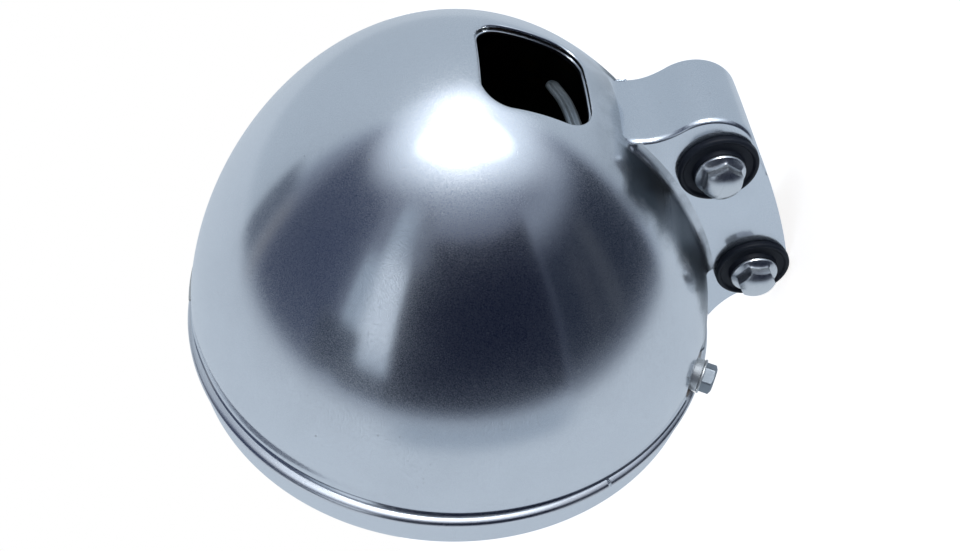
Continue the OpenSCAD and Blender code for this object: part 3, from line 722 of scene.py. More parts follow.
class Paintbox:
    """Every material of the headlight, built once."""

    def __init__(self) -> None:
        """Builds the groups, then the materials."""
        groups = EffectGroups()
        finishes = (
            # The shell's crease paints shade and dark reflection beside the bracket and in the rim screws' dishes.
            MetalFinish("shell_chrome", (0.80, 0.83, 0.87), 0.07, haze=0.08, spread=0.26, crease=0.26, bump=0.3),
            MetalFinish("bracket_chrome", (0.77, 0.81, 0.86), 0.09, haze=0.10, spread=0.22, pits=0.6, bump=0.3),
            MetalFinish("shell_inside", (0.03, 0.03, 0.035), 0.55, haze=0.2, stain=(0.02, 0.015, 0.01), rust=0.3),
            MetalFinish("rim_chrome", (0.80, 0.83, 0.87), 0.09, haze=0.10, spread=0.2),
            # Dark groove finish: dirt and rust, and painted shade where ridge, bead and spigot meet.
            MetalFinish("groove_dirt_and_shade", (0.12, 0.13, 0.15), 0.40, haze=0.3, rust=0.8),
            MetalFinish("band_brushed", (0.88, 0.89, 0.92), 0.14, haze=0.08, spread=0.12, streak_count=4.0,
                        streak_across=1900.0, streak_colour=0.30, pits=0.4),
            MetalFinish("band_rusted", (0.55, 0.52, 0.5), 0.34, haze=0.3, stain=(0.09, 0.05, 0.03), rust=1.0, bump=0.5),
            MetalFinish("bolt_chrome", (0.78, 0.80, 0.82), 0.20, haze=0.12, spread=0.14, pits=0.3, scratches=0.4,
                        bump=0.2),
            MetalFinish("screw_zinc", (0.34, 0.38, 0.42), 0.40, haze=0.2, bump=0.4),
            MetalFinish("collar_chrome", (0.74, 0.76, 0.77), 0.40, haze=0.2, pits=0.6, bump=0.4),
            MetalFinish("plain_steel", (0.55, 0.55, 0.54), 0.32, haze=0.2),
            MetalFinish("dark_steel", (0.30, 0.31, 0.33), 0.42, haze=0.2, bump=0.4),
            MetalFinish("strip_steel", (0.36, 0.41, 0.45), 0.46, haze=0.3, bump=0.5, rust=0.2),
            MetalFinish("mirror_metal", (0.92, 0.92, 0.93), 0.03, haze=0.03, spread=0.0, pits=0.0, scratches=0.0,
                        bump=0.0),
            MetalFinish("brass", (0.72, 0.56, 0.30), 0.28, haze=0.2),
            MetalFinish("filament_wire", (0.42, 0.43, 0.45), 0.35, haze=0.1),
            # Near-black rubber; the blue tint of it and of its dust is painted sheen.
            SoftFinish("rubber_black", (0.010, 0.013, 0.021), (0.05, 0.06, 0.085), 0.50, dustiness=0.25, gloss=0.28),
            SoftFinish("seal_black", (0.018, 0.019, 0.022), (0.07, 0.065, 0.06), 0.62, dustiness=0.5),
            SoftFinish("ivory_plastic", (0.74, 0.69, 0.56), (0.55, 0.50, 0.40), 0.45, dustiness=0.4),
            GlassFinish("clear_glass", (0.93, 0.97, 0.98), 0.02),
            GlassFinish("bulb_glass", (0.97, 0.98, 0.99), 0.01),
        )
        self.materials = {finish.name: finish.build(groups) for finish in finishes}

    def __getitem__(self, name: str) -> bpy.types.Material:
        """Returns the material of that name."""
        return self.materials[name]


@dataclass
class Bowl:
    """The bucket's outer surface, shared by all that touches it."""

    radius: float = 98.9
    depth: float = 118.0
    long_power: float = 1.67
    cross_power: float = 1.85

    def height(self, radius: float) -> float:
        """Height of the surface at a distance from the axis."""
        share = min(radius / self.radius, 1.0)
        return self.depth * (1 - share ** self.cross_power) ** (1 / self.long_power)

    def reach(self, height: float) -> float:
        """Radius of the surface at a height."""
        share = min(max(height / self.depth, 0.0), 1.0)
        return self.radius * (1 - share ** self.long_power) ** (1 / self.cross_power)

    def normal(self, x: float, y: float) -> Vector:
        """The surface's way out above a place.

        Args:
            x: the place's first coordinate.
            y: its second.

        Returns:
            The unit normal.
        """
        radius = max(math.hypot(x, y), 1e-6)
        height = max(self.height(radius), 1e-6)
        slope_r = self.cross_power * (radius / self.radius) ** (self.cross_power - 1) / self.radius
        slope_z = self.long_power * (height / self.depth) ** (self.long_power - 1) / self.depth
        return Vector((slope_r * x / radius, slope_r * y / radius, slope_z)).normalized()


@dataclass
class Bucket:
    """The chromed bowl, with its turned wiring hole and the dimples for the rim screws."""

    paint: Paintbox
    bowl: Bowl
    wall: float = 1.2
    edge: float = 3.4
    hole_width: float = 39.0
    hole_height: float = 36.4
    corner: float = 10.0
    hole_side: float = 1.5
    hole_drop: float = 21.3
    roll: float = 1.2
    collar_radius: float = 6.2
    collar_gap: float = 0.4
    notch_slack: float = 0.06
    notch_snap: float = 0.42
    dimple_radius: float = 13.5
    dimple_depth: float = 4.0
    columns: int = 264
    rows: int = 84
    slot_half: float = 8.6
    slot_height: Pair = (7.8, 10.4)
    lip_shade: float = 2.68
    waist: float = 0.8
    waist_more: float = 0.7
    waist_height: float = 4.9
    waist_top: float = 15.0
    samples: int = 400
    pole: float = 20.0
    lip_level: float = 60.0
    slot_box: Tuple[float, float, float] = (16.0, -80.0, 20.0)
    waist_loops: Tuple[float, ...] = (3.5, 3.65, 3.8, 4.0, 4.2, 4.45, 4.7, 4.95, 5.4, 6.0, 6.8, 7.6, 8.6, 9.8, 11.2,
                                      12.8, 14.4)
    flare: float = 0.75

    def outline(self, turn: float, grow: float) -> float:
        """Distance from the hole's middle to its edge.

        Args:
            turn: angle in radians.
            grow: how far the edge is moved outwards.

        Returns:
            The distance.
        """
        half_w, half_h = self.hole_width / 2, self.hole_height / 2
        c = self.corner + grow
        w, h = half_w - self.corner, half_h - self.corner
        dx, dy = abs(math.cos(turn)), abs(math.sin(turn))
        flat_x = (w + c) / dx if dx > 1e-9 else 1e9
        if flat_x * dy <= h:
            return flat_x
        flat_y = (h + c) / dy if dy > 1e-9 else 1e9
        if flat_y * dx <= w:
            return flat_y
        b = w * dx + h * dy
        return b + math.sqrt(max(b * b - (w * w + h * h - c * c), 0.0))

    def lip(self) -> List[Pair]:
        """The turned edge as pairs of growth and depth, from the inner lip to the bowl.

        Returns:
            The pairs.
        """
        rolled = [(self.roll * (1 - math.cos(a)), self.roll * (1 - math.sin(a)))
                  for a in (math.radians(15 * i) for i in range(7))]
        return [(-0.62, 3.05), (-0.60, 2.75), (-0.52, 2.62), (-0.30, 2.60), (-0.10, 2.45), (0.0, 2.1)] + rolled

    def skin(self) -> bmesh.types.BMesh:
        """Lays the bowl's grid from the hole's lip to the mouth, and presses the dimples in.

        Returns:
            The open mesh, its faces outwards.
        """
        lip = self.lip()
        rays: Dict[int, List[Vector]] = {}
        mouth = self.bowl.reach(self.edge)

        def ray(number: int) -> List[Vector]:
            """Points of one ray, evenly spaced along the surface.

            Args:
                number: the ray's number.

            Returns:
                The points from the lip to the mouth.
            """
            turn = 2 * math.pi * number / self.columns
            way = Vector((math.cos(turn), math.sin(turn)))
            middle = Vector((self.hole_side, self.hole_drop))
            points = []
            for grow, depth in lip:
                spot = middle + way * self.outline(turn, grow)
                points.append(Vector((spot.x, spot.y, self.bowl.height(spot.length) - depth)))
            start = self.outline(turn, self.roll)
            b = middle.dot(way)
            end = -b + math.sqrt(b * b + mouth * mouth - middle.length_squared)
            fine = []
            for i in range(self.samples + 1):
                t = 1 - (1 - i / self.samples) ** 2
                spot = middle + way * (start + (end - start) * t)
                fine.append(Vector((spot.x, spot.y, max(self.bowl.height(spot.length), self.edge))))
            run = [0.0]
            for a, c in zip(fine, fine[1:]):
                run.append(run[-1] + (c - a).length)
            k = 0
            for i in range(1, self.rows + 1):
                goal = run[-1] * i / self.rows
                while k < self.samples - 1 and run[k + 1] < goal:
                    k += 1
                share = (goal - run[k]) / max(run[k + 1] - run[k], 1e-9)
                spot = fine[k].lerp(fine[k + 1], min(share, 1.0))
                flat = Vector((spot.x, spot.y))
                if spot.z > 1 and flat.length > self.pole:
                    flat = flat.normalized() * self.bowl.reach(spot.z)
                height = spot.z if flat.length > self.pole else self.bowl.height(flat.length)
                points.append(Vector((flat.x, flat.y, height)))
            return points

        total = len(lip) - 1 + self.rows

        def place(u: float, v: float) -> Vector:
            """Point of the skin at a share round the hole and a share outwards.

            Args:
                u: share across or round.
                v: share along.

            Returns:
                The point.
            """
            number = round(u * self.columns) % self.columns
            if number not in rays:
                rays[number] = ray(number)
            return rays[number][round(v * total)]

        bm = Workshop.outward(Workshop.sheet(self.columns, total, place))
        Workshop.turned(bm, sum(f.normal.dot(f.calc_center_median()) for f in bm.faces))
        for side in SIDES.values():
            self._dimple(bm, side)
        return bm

    def _dimple(self, bm: bmesh.types.BMesh, side: int) -> None:
        """Makes the grid finer round a rim screw, cuts its notch and presses the dish in.

        Args:
            bm: the mesh, changed in place.
            side: 1 or -1.
        """
        notch = self.collar_radius + self.collar_gap
        way = wheel(1.0, math.radians(90 - side * SCREW_TURN), 0)

        def away(point: Vector) -> Tuple[Vector, float]:
            """A point's offset from the screw's axis, and its distance along it."""
            offset = point - Vector((0, 0, SCREW_HEIGHT))
            return offset - way * offset.dot(way), offset.dot(way)

        def within(verts: Sequence[bmesh.types.BMVert], reach: float) -> bool:
            """Whether all vertices lie round the screw, nearer than a reach."""
            return all(away(v.co)[1] > 0 and away(v.co)[0].length < reach for v in verts)

        near = [e for e in bm.edges if within(e.verts, self.dimple_radius + 2.5)]
        bmesh.ops.subdivide_edges(bm, edges=near, cuts=4, use_grid_fill=True)
        for v in [v for v in bm.verts if within([v], self.dimple_radius + 3)]:
            v.co = at_radius(v.co, self.bowl.reach(v.co.z))
            offset = away(v.co)[0]
            if abs(offset.length - notch) < self.notch_snap and v.co.z > self.edge + 0.3:
                v.co += offset.normalized() * (notch - offset.length)
                v.co = at_radius(v.co, self.bowl.reach(v.co.z))
        Workshop.drop(bm, lambda f: within(f.verts, notch + self.notch_slack))
        for v in bm.verts:
            if within([v], self.dimple_radius + 1):
                v.co -= way * self.dimple_depth * (1 - smooth(notch - 0.5, self.dimple_radius, away(v.co)[0].length))

    def _slot(self, bm: bmesh.types.BMesh) -> None:
        """Cuts the slot that the rim's hook hangs in, at the top of the mouth.

        Args:
            bm: the mesh, changed in place.
        """
        low, high = self.slot_height
        wide, back, tall = self.slot_box
        for spot, way in (((self.slot_half, 0, 0), (1, 0, 0)), ((-self.slot_half, 0, 0), (1, 0, 0)),
                          ((0, 0, low), (0, 0, 1)), ((0, 0, high), (0, 0, 1))):
            near = [f for f in bm.faces if all(v.co.y < back and abs(v.co.x) < wide and v.co.z < tall
                                               for v in f.verts)]
            edges = {e for f in near for e in f.edges}
            verts = {v for f in near for v in f.verts}
            bmesh.ops.bisect_plane(bm, geom=list(verts) + list(edges) + near, dist=1e-4, plane_co=spot, plane_no=way)

        def inside(face: bmesh.types.BMFace) -> bool:
            """Whether a face lies within the slot."""
            spot = face.calc_center_median()
            return spot.y < back and abs(spot.x) < self.slot_half and low < spot.z < high

        Workshop.drop(bm, inside)

    def _waist(self, bm: bmesh.types.BMesh) -> None:
        """Draws the shell in above its mouth and flares its last edge out again.

        Args:
            bm: the mesh, changed in place.
        """
        for height in self.waist_loops:
            bmesh.ops.bisect_plane(bm, geom=bm.verts[:] + bm.edges[:] + bm.faces[:], dist=1e-4,
                                   plane_co=(0, 0, height), plane_no=(0, 0, 1))
        low = self.waist_height
        for v in bm.verts:
            if v.co.z < self.waist_top:
                radius = off_axis(v.co)
                drawn = self.waist + self.waist_more * leftward(v.co) - 0.5 * smooth(0.0, 0.7, v.co.y / radius)
                shift = -drawn * (1 - smooth(low, self.waist_top, v.co.z))
                if v.co.z < low:
                    shift += self.flare * ((low - v.co.z) / (low - self.edge)) ** 2
                v.co = at_radius(v.co, radius + shift)

    def build(self) -> None:
        """Makes the bucket with its wall, bright outside and dark inside, the turned lip's wall dark as painted shade.
        """
        bm = self.skin()
        self._slot(bm)
        self._waist(bm)
        bmesh.ops.solidify(bm, geom=bm.faces[:], thickness=self.wall)
        bm.normal_update()
        for face in bm.faces:
            spot = face.calc_center_median()
            sunk = self.bowl.height(off_axis(spot)) - spot.z
            # Inner faces, and the turned lip's wall sunk deeper than lip_shade, take the near-black inside finish; on
            # the lip it is painted shade.
            if face.normal.dot(spot.normalized()) < -0.1 or (spot.z > self.lip_level and sunk > self.lip_shade):
                face.material_index = 1
        Workshop.finish("bucket", bm, "bucket", Finish.SHELL, ["bucket_shell"],
                        [self.paint["shell_chrome"], self.paint["shell_inside"]])


@dataclass
class Bracket:
    """The channel bracket: a web folded down into two flanges, welded to the bowl."""

    paint: Paintbox
    bowl: Bowl
    rear: Pair = BOLTS["rear"]
    front: Pair = BOLTS["front"]
    fold_top: float = 3.0
    fold_low: float = 0.8
    fold_steps: int = 12
    seam: float = 3.4
    peak_radius: float = 16.5
    lobe_radius: float = 13.0
    hole: float = 10.0
    root: float = 50.2
    web_end: float = 103.3
    sunk: float = 0.6
    blend_end: float = 58.5
    flat_columns: int = 14
    hollow_steps: int = 8
    edge_bevel: float = 0.3
    edge_turn: float = 55.0
    edge_clear: float = 0.4
    mouth_reach: float = 97.5

    def line(self) -> List[Pair]:
        """The web's middle line from where it meets the bowl to the front lobe.

        Returns:
            Points of Y and Z.
        """
        mid = (self.rear[0] - 4.6, self.rear[1] + 3.4)
        peak = arc(mid, self.peak_radius, 130, 29.3, 44)
        bend = (self.front[0] + 3.4, self.front[1] + 30.2)
        lobe = arc(self.front, self.lobe_radius, 20, 20, 1)[0]
        line = [(self.root, self.bowl.height(self.root))]
        line += bezier(line[0], (54.1, 93.0), (self.blend_end, 93.35), 22)
        line += bezier(line[-1], (63.5, 93.75), peak[0], 16)
        return line + peak[1:] + bezier(peak[-1], bend, lobe, 36)

    def flange(self) -> List[Pair]:
        """The flange's free edge from the lobe to the bucket's mouth."""
        lobe = arc(self.front, self.lobe_radius, 20, -75, 24)
        return lobe[1:] + bezier(lobe[-1], (103.0, 16.0), (98.6, 3.4), 12)

    def bowl_edge(self, start: float, end: float, count: int) -> List[Pair]:
        """Where a flange runs into the bowl, from one height across to another, sunk into the wall.

        Args:
            start: first Y.
            end: last Y.
            count: number of steps.

        Returns:
            Points of Y and Z.
        """
        points = []
        for i in range(count + 1):
            y = start + (end - start) * i / count
            radius = math.hypot(y, FLANGE_SIDE)
            points.append((y, max(self.bowl.height(radius), 3.6) - self.sunk))
        return points

    def fold(self) -> List[Pair]:
        """The fold's section as run across and drop, wide at the web and tight at the flange.

        Returns:
            The section from the web to the flange.
        """
        points = [(0.0, 0.0)]
        step = math.pi / 2 / self.fold_steps
        for i in range(self.fold_steps):
            turn = step * (i + 0.5)
            radius = self.fold_top + (self.fold_low - self.fold_top) * smooth(0.55, 0.95, turn)
            points.append((points[-1][0] + radius * step * math.cos(turn),
                           points[-1][1] + radius * step * math.sin(turn)))
        return points

    def fillet(self) -> bmesh.types.BMesh:
        """The smooth hollow that runs from a flange into the bowl.

        Returns:
            The mesh on the side of +X.
        """
        run = self.bowl_edge(52.5, 92.0, 120)
        steps = self.hollow_steps

        def place(u: float, v: float) -> Vector:
            """Point of the hollow at a share round its section and a share along.

            Args:
                u: share across or round.
                v: share along.

            Returns:
                The point.
            """
            y, z = run[round(v * (len(run) - 1))]
            corner = Vector((FLANGE_SIDE, y, z + self.sunk))
            out = self.bowl.normal(corner.x, corner.y)
            up = (out - Vector((out.x, 0, 0))).normalized()
            away = (Vector((1, 0, 0)) - out * out.x).normalized()
            grow = self.seam * (0.15 + 0.85 * smooth(0.0, 0.05, v))
            number = round(u * (steps + 2)) % (steps + 2)
            if number > steps:
                return corner - Vector((0.6, 0, 0)) - out * 0.6
            share = number / steps
            foot = corner + away * grow
            foot = at_radius(foot, self.bowl.reach(foot.z) - 0.05) - out * 0.03
            head = corner + up * grow - Vector((0.03, 0, 0))
            return head * (1 - share) ** 2 + corner * 2 * share * (1 - share) + foot * share ** 2

        bm = Workshop.capped(Workshop.sheet(steps + 2, len(run) - 1, place))
        for face in bm.faces:
            face.material_index = 1
        return bm

    def web(self) -> Tuple[bmesh.types.BMesh, List[Pair]]:
        """Lays the web with its folds down to the flanges.

        Returns:
            The mesh and the folds' lower line.
        """
        line = [p for p in self.line() if p[0] <= self.web_end]
        count = len(line) - 1
        rows = []
        for i, point in enumerate(line):
            a, b = line[max(i - 1, 0)], line[min(i + 1, count)]
            run = math.hypot(b[0] - a[0], b[1] - a[1])
            rows.append((point, (-(b[1] - a[1]) / run, (b[0] - a[0]) / run)))
        narrow = self.web_end - 5.0
        flat = self.flat_columns
        fold = self.fold()
        turns = list(range(1, self.fold_steps + 1))
        stations = [(-1.0, k, 0.0) for k in reversed(turns)]
        stations += [(-1 + 2 * i / flat, 0, 0.0) for i in range(flat + 1)]
        stations += [(1.0, k, 0.0) for k in turns]
        stations = [(-1.0, self.fold_steps, 0.4)] + stations + [(1.0, self.fold_steps, 0.4)]
        top = len(stations) - 1

        def place(u: float, v: float) -> Vector:
            """Point of the web at a share across and a share along.

            Args:
                u: share across or round.
                v: share along.

            Returns:
                The point.
            """
            (y, z), (ny, nz) = rows[round(v * count)]
            side, number, extra = stations[round(u * top)]
            size = 1 - 0.6 * smooth(narrow, self.web_end, y)
            inner = FLANGE_SIDE - fold[-1][0] * size
            x = side * (inner + fold[number][0] * size)
            drop = fold[number][1] * size + extra
            if y < self.blend_end:
                first = self.bowl.height(math.hypot(x, self.root))
                middle = self.bowl.height(self.root)
                slope = (self.bowl.height(math.hypot(x, self.root + 0.5)) - first) / 0.5
                slope -= (self.bowl.height(self.root + 0.5) - middle) / 0.5
                share = (self.blend_end - y) / (self.blend_end - self.root)
                lift = (first - middle) * share ** 2 * (3 - 2 * share)
                z += lift + slope * (y - self.root) * share ** 2
            return Vector((x, y - ny * drop, z - nz * drop))

        bm = Workshop.sheet(top, count, place)
        return bm, [tuple(place(1.0, i / count).yz) for i in range(count + 1)]

    def build(self) -> None:
        """Makes the bracket, with its weld seams along the bowl."""
        bm, lip = self.web()
        outline = [p for p in self.line() if p[0] > self.web_end]
        edge = outline + self.flange()
        back = self.bowl_edge(91.6, lip[0][0], 60)
        for side in SIDES.values():
            x = side * FLANGE_SIDE
            loop = [(x, y, z) for y, z in lip + edge + back[:-1]]
            verts = [bm.verts.new(p) for p in loop]
            edges = [bm.edges.new((a, b)) for a, b in zip(verts, verts[1:] + verts[:1])]
            for middle in (self.rear, self.front):
                ring = [bm.verts.new((x, y, z)) for y, z in arc(middle, self.hole, 0, 360 - 5.625, 63)]
                edges += [bm.edges.new((a, b)) for a, b in zip(ring, ring[1:] + ring[:1])]
            bmesh.ops.triangle_fill(bm, use_beauty=True, use_dissolve=False, edges=edges, normal=(side, 0, 0))
        bmesh.ops.remove_doubles(bm, verts=bm.verts[:], dist=2e-3)
        Workshop.outward(bm)
        Workshop.turned(bm, max(bm.faces, key=lambda f: f.calc_center_median().z).normal.z)
        bmesh.ops.solidify(bm, geom=bm.faces[:], thickness=SHEET)
        for v in bm.verts:
            flat = off_axis(v.co)
            if flat < self.mouth_reach and v.co.z < self.bowl.height(flat) - self.sunk:
                v.co.z = self.bowl.height(flat) - self.sunk

        def free(point: Vector) -> bool:
            """Whether a point stands clear of the bowl."""
            flat = off_axis(point)
            return flat > self.bowl.radius or point.z > self.bowl.height(flat) + self.edge_clear

        rims = [e for e in bm.edges if e.is_manifold and e.calc_face_angle() > math.radians(self.edge_turn)
                and all(free(v.co) for v in e.verts)]
        bmesh.ops.bevel(bm, geom=rims, offset=self.edge_bevel, offset_type="OFFSET", segments=2, profile=0.5,
                        affect="EDGES", clamp_overlap=True, material=-1)
        seams = [self.fillet(), Workshop.moved(self.fillet(), Matrix.Diagonal((-1, 1, 1, 1)))]
        Workshop.finish("bracket", Workshop.join([bm] + seams), "bucket", Finish.SHELL, ["mount_bracket"],
                        [self.paint["bracket_chrome"], self.paint["shell_chrome"]])


@dataclass
class WireClamp:
    """The ridged strip under the wiring hole, from its rounded tip to the bucket's wall."""

    paint: Paintbox
    tip: Pair = (-17.0, 32.1)
    turn: float = 16.0
    width: float = 4.9
    sag: float = -4.0
    thickness: float = 1.2
    tip_height: float = 90.0
    step: Pair = (28.5, 94.0)
    reach: float = 43.4
    ridge: float = 0.55
    columns: int = 24

    def crest(self, across: float) -> float:
        """How far the strip's top lies under its crests at a share across."""
        return self.ridge * (0.5 + 0.5 * math.cos(math.pi * abs(across) / 0.56)) if abs(across) < 0.95 else 0.75

    def build(self) -> None:
        """Makes the strip with its two lengthwise ridges."""
        half = self.width / 2
        across = [-1 + 2 * i / self.columns for i in range(self.columns + 1)]
        section = [(a, False) for a in across] + [(a, True) for a in reversed(across)]
        size = len(section)
        along = [-half * math.cos(math.radians(10 * i)) for i in range(10)] + [2.0 * i for i in range(1, 22)]
        along[-1] = self.reach
        turn = math.radians(self.turn)

        def place(u: float, v: float) -> Vector:
            """Point of the strip at a share round its section and a share along.

            Args:
                u: share across or round.
                v: share along.

            Returns:
                The point.
            """
            share, under = section[round(u * size) % size]
            run = along[round(v * (len(along) - 1))]
            wide = half * math.sqrt(max(1 - (min(run, 0.0) / half) ** 2, 0.002))
            top = self.tip_height + (self.step[1] - self.tip_height) * smooth(-6.0, self.step[0], run)
            if under:
                z = top - self.thickness
            else:
                z = top - min(self.crest(share) + 0.5 * (1 - wide / half), self.thickness - 0.15)
            x, y = run, share * wide + self.sag * smooth(6.0, 34.0, run)
            return Vector((self.tip[0] + x * math.cos(turn) - y * math.sin(turn),
                           self.tip[1] + x * math.sin(turn) + y * math.cos(turn), z))

        bm = Workshop.capped(Workshop.sheet(size, len(along) - 1, place))
        Workshop.finish("clamp_strip", bm, "bucket", Finish.STEEL, ["wire_clamp"], [self.paint["strip_steel"]])


@dataclass
class Mounting:
    """The bracket's rubber grommets and flanged bolts."""

    paint: Paintbox
    proud: float = 3.4

    @staticmethod
    def outwards(where: str, side: int) -> Matrix:
        """Matrix that stands a piece on a bolt's axis, its Z out of the bracket."""
        y, z = BOLTS[where]
        return Matrix(((0, 0, side, side * FLANGE_SIDE), (0, side, 0, y), (-1, 0, 0, z), (0, 0, 0, 1)))

    def grommet(self, where: str, name: str) -> None:
        """Makes one rubber bush.

        Args:
            where: rear or front.
            name: the side's name.
        """
        low = -SHEET - self.proud
        section = [(6.0, low), (10.4, low), (11.6, low + 1.2), (11.6, -SHEET), (10.0, -SHEET),
                   (10.0, 0.0), (13.4, 0.0), (13.6, 0.25), (13.55, 1.1)]
        section += arc((12.55, 1.25), 1.0, 0, 90, 8)
        section += [(12.3, 2.22), (12.0, 2.02), (11.8, 1.65), (11.5, 1.4), (9.5, 1.35), (8.9, 1.7), (8.6, 2.6),
                    (8.5, 3.3), (6.0, 3.3)]
        bm = Workshop.moved(Workshop.spun(section, 128), self.outwards(where, SIDES[name]))
        Workshop.finish("bush_%s_%s" % (where, name), bm, "bucket", Finish.RUBBER,
                        ["grommet_%s_%s" % (where, name)], [self.paint["rubber_black"]])

    @staticmethod
    def hexagon(turn: float, half_flats: float, round_at: float, start: float) -> float:
        """Distance from the middle of a rounded hexagon to its side."""
        a = (turn - start) % (math.pi / 3) - math.pi / 6
        return min(half_flats / math.cos(a), round_at)

    @classmethod
    def head(cls, flats: float, height: float, flange: float, start: float, seat: float, dome: float,
             shank: Sequence[Pair]) -> bmesh.types.BMesh:
        """A hexagon head, with or without a flange.

        Args:
            flats: width across flats.
            height: height with the flange.
            flange: radius of the flange, or 0.
            start: angle of a corner in radians.
            seat: height of the seat above the origin.
            dome: share of the half width by which the end falls towards the flats; 0 is a flat, chamfered end.
            shank: points of radius and height below the seat.

        Returns:
            The mesh, its top towards +Z.
        """
        half_flats = flats / 2
        round_at = half_flats / math.cos(math.pi / 6) - 0.16
        land = half_flats * 0.86
        foot = 2.75 if flange else 0.0

        def end(reach: float) -> float:
            """Height of the end at a distance from the middle.

            Args:
                reach: the distance.

            Returns:
                The height.
            """
            if dome:
                return height - dome * half_flats * (reach / half_flats) ** 2.6
            return height - max(reach - land, 0.0) * 0.55 - 0.12 * smooth(land - 0.4, land, reach)

        face = [(0.0, land * i / 6) for i in range(7)] + [(i / 5, land) for i in range(1, 6)]
        sides = [0.97, 0.75, 0.5, 0.25, 0.0]
        skirt = [i / 6 for i in range(1, 7)] if flange else []
        tail = [(flange - 0.08, 0.95), (flange, 0.7), (flange, 0.3), (flange - 0.25, 0.0)] if flange else []
        tail += list(shank)
        count = len(face) + len(sides) + len(skirt) + len(tail) - 1

        def place(u: float, v: float) -> Vector:
            """Point of the head at a share round and a share down the rows.

            Args:
                u: share across or round.
                v: share along.

            Returns:
                The point.
            """
            turn = 2 * math.pi * u
            number = round(v * count)
            hexa = cls.hexagon(turn, half_flats, round_at, start)
            if number < len(face):
                share, radius = face[number]
                reach = radius + (hexa - radius) * share
                z = end(reach)
            elif number < len(face) + len(sides):
                reach = hexa
                z = foot + (end(hexa) - foot) * sides[number - len(face)]
            elif number < len(face) + len(sides) + len(skirt):
                share = skirt[number - len(face) - len(sides)]
                reach = hexa + (flange - 0.2 - hexa) * share
                z = 2.62 - 1.42 * share ** 0.8
            else:
                reach, z = tail[number - len(face) - len(sides) - len(skirt)]
            return wheel(reach, turn, z + seat)

        return Workshop.outward(Workshop.sheet(192, count, place))

    def build(self) -> None:
        """Makes the four bushes and the four bolts."""
        heads = []
        shank = [(3.6, 0.0), (3.6, -9.25), (4.0, -9.3), (4.0, -15.2), (3.2, -16.0), (0.0, -16.0)]
        for where, start in (("rear", 0.0), ("front", math.pi / 6)):
            for name, side in SIDES.items():
                self.grommet(where, name)
                bolt = self.head(12.0, 8.0, 8.5, start, self.proud, 0.30, shank)
                heads.append(Workshop.moved(bolt, self.outwards(where, side)))
        bm = Workshop.join(heads)
        Workshop.finish("bolts", bm, "bucket", Finish.BOLT, ["mount_bolts"], [self.paint["bolt_chrome"]],
                        Sharp.CRISP)


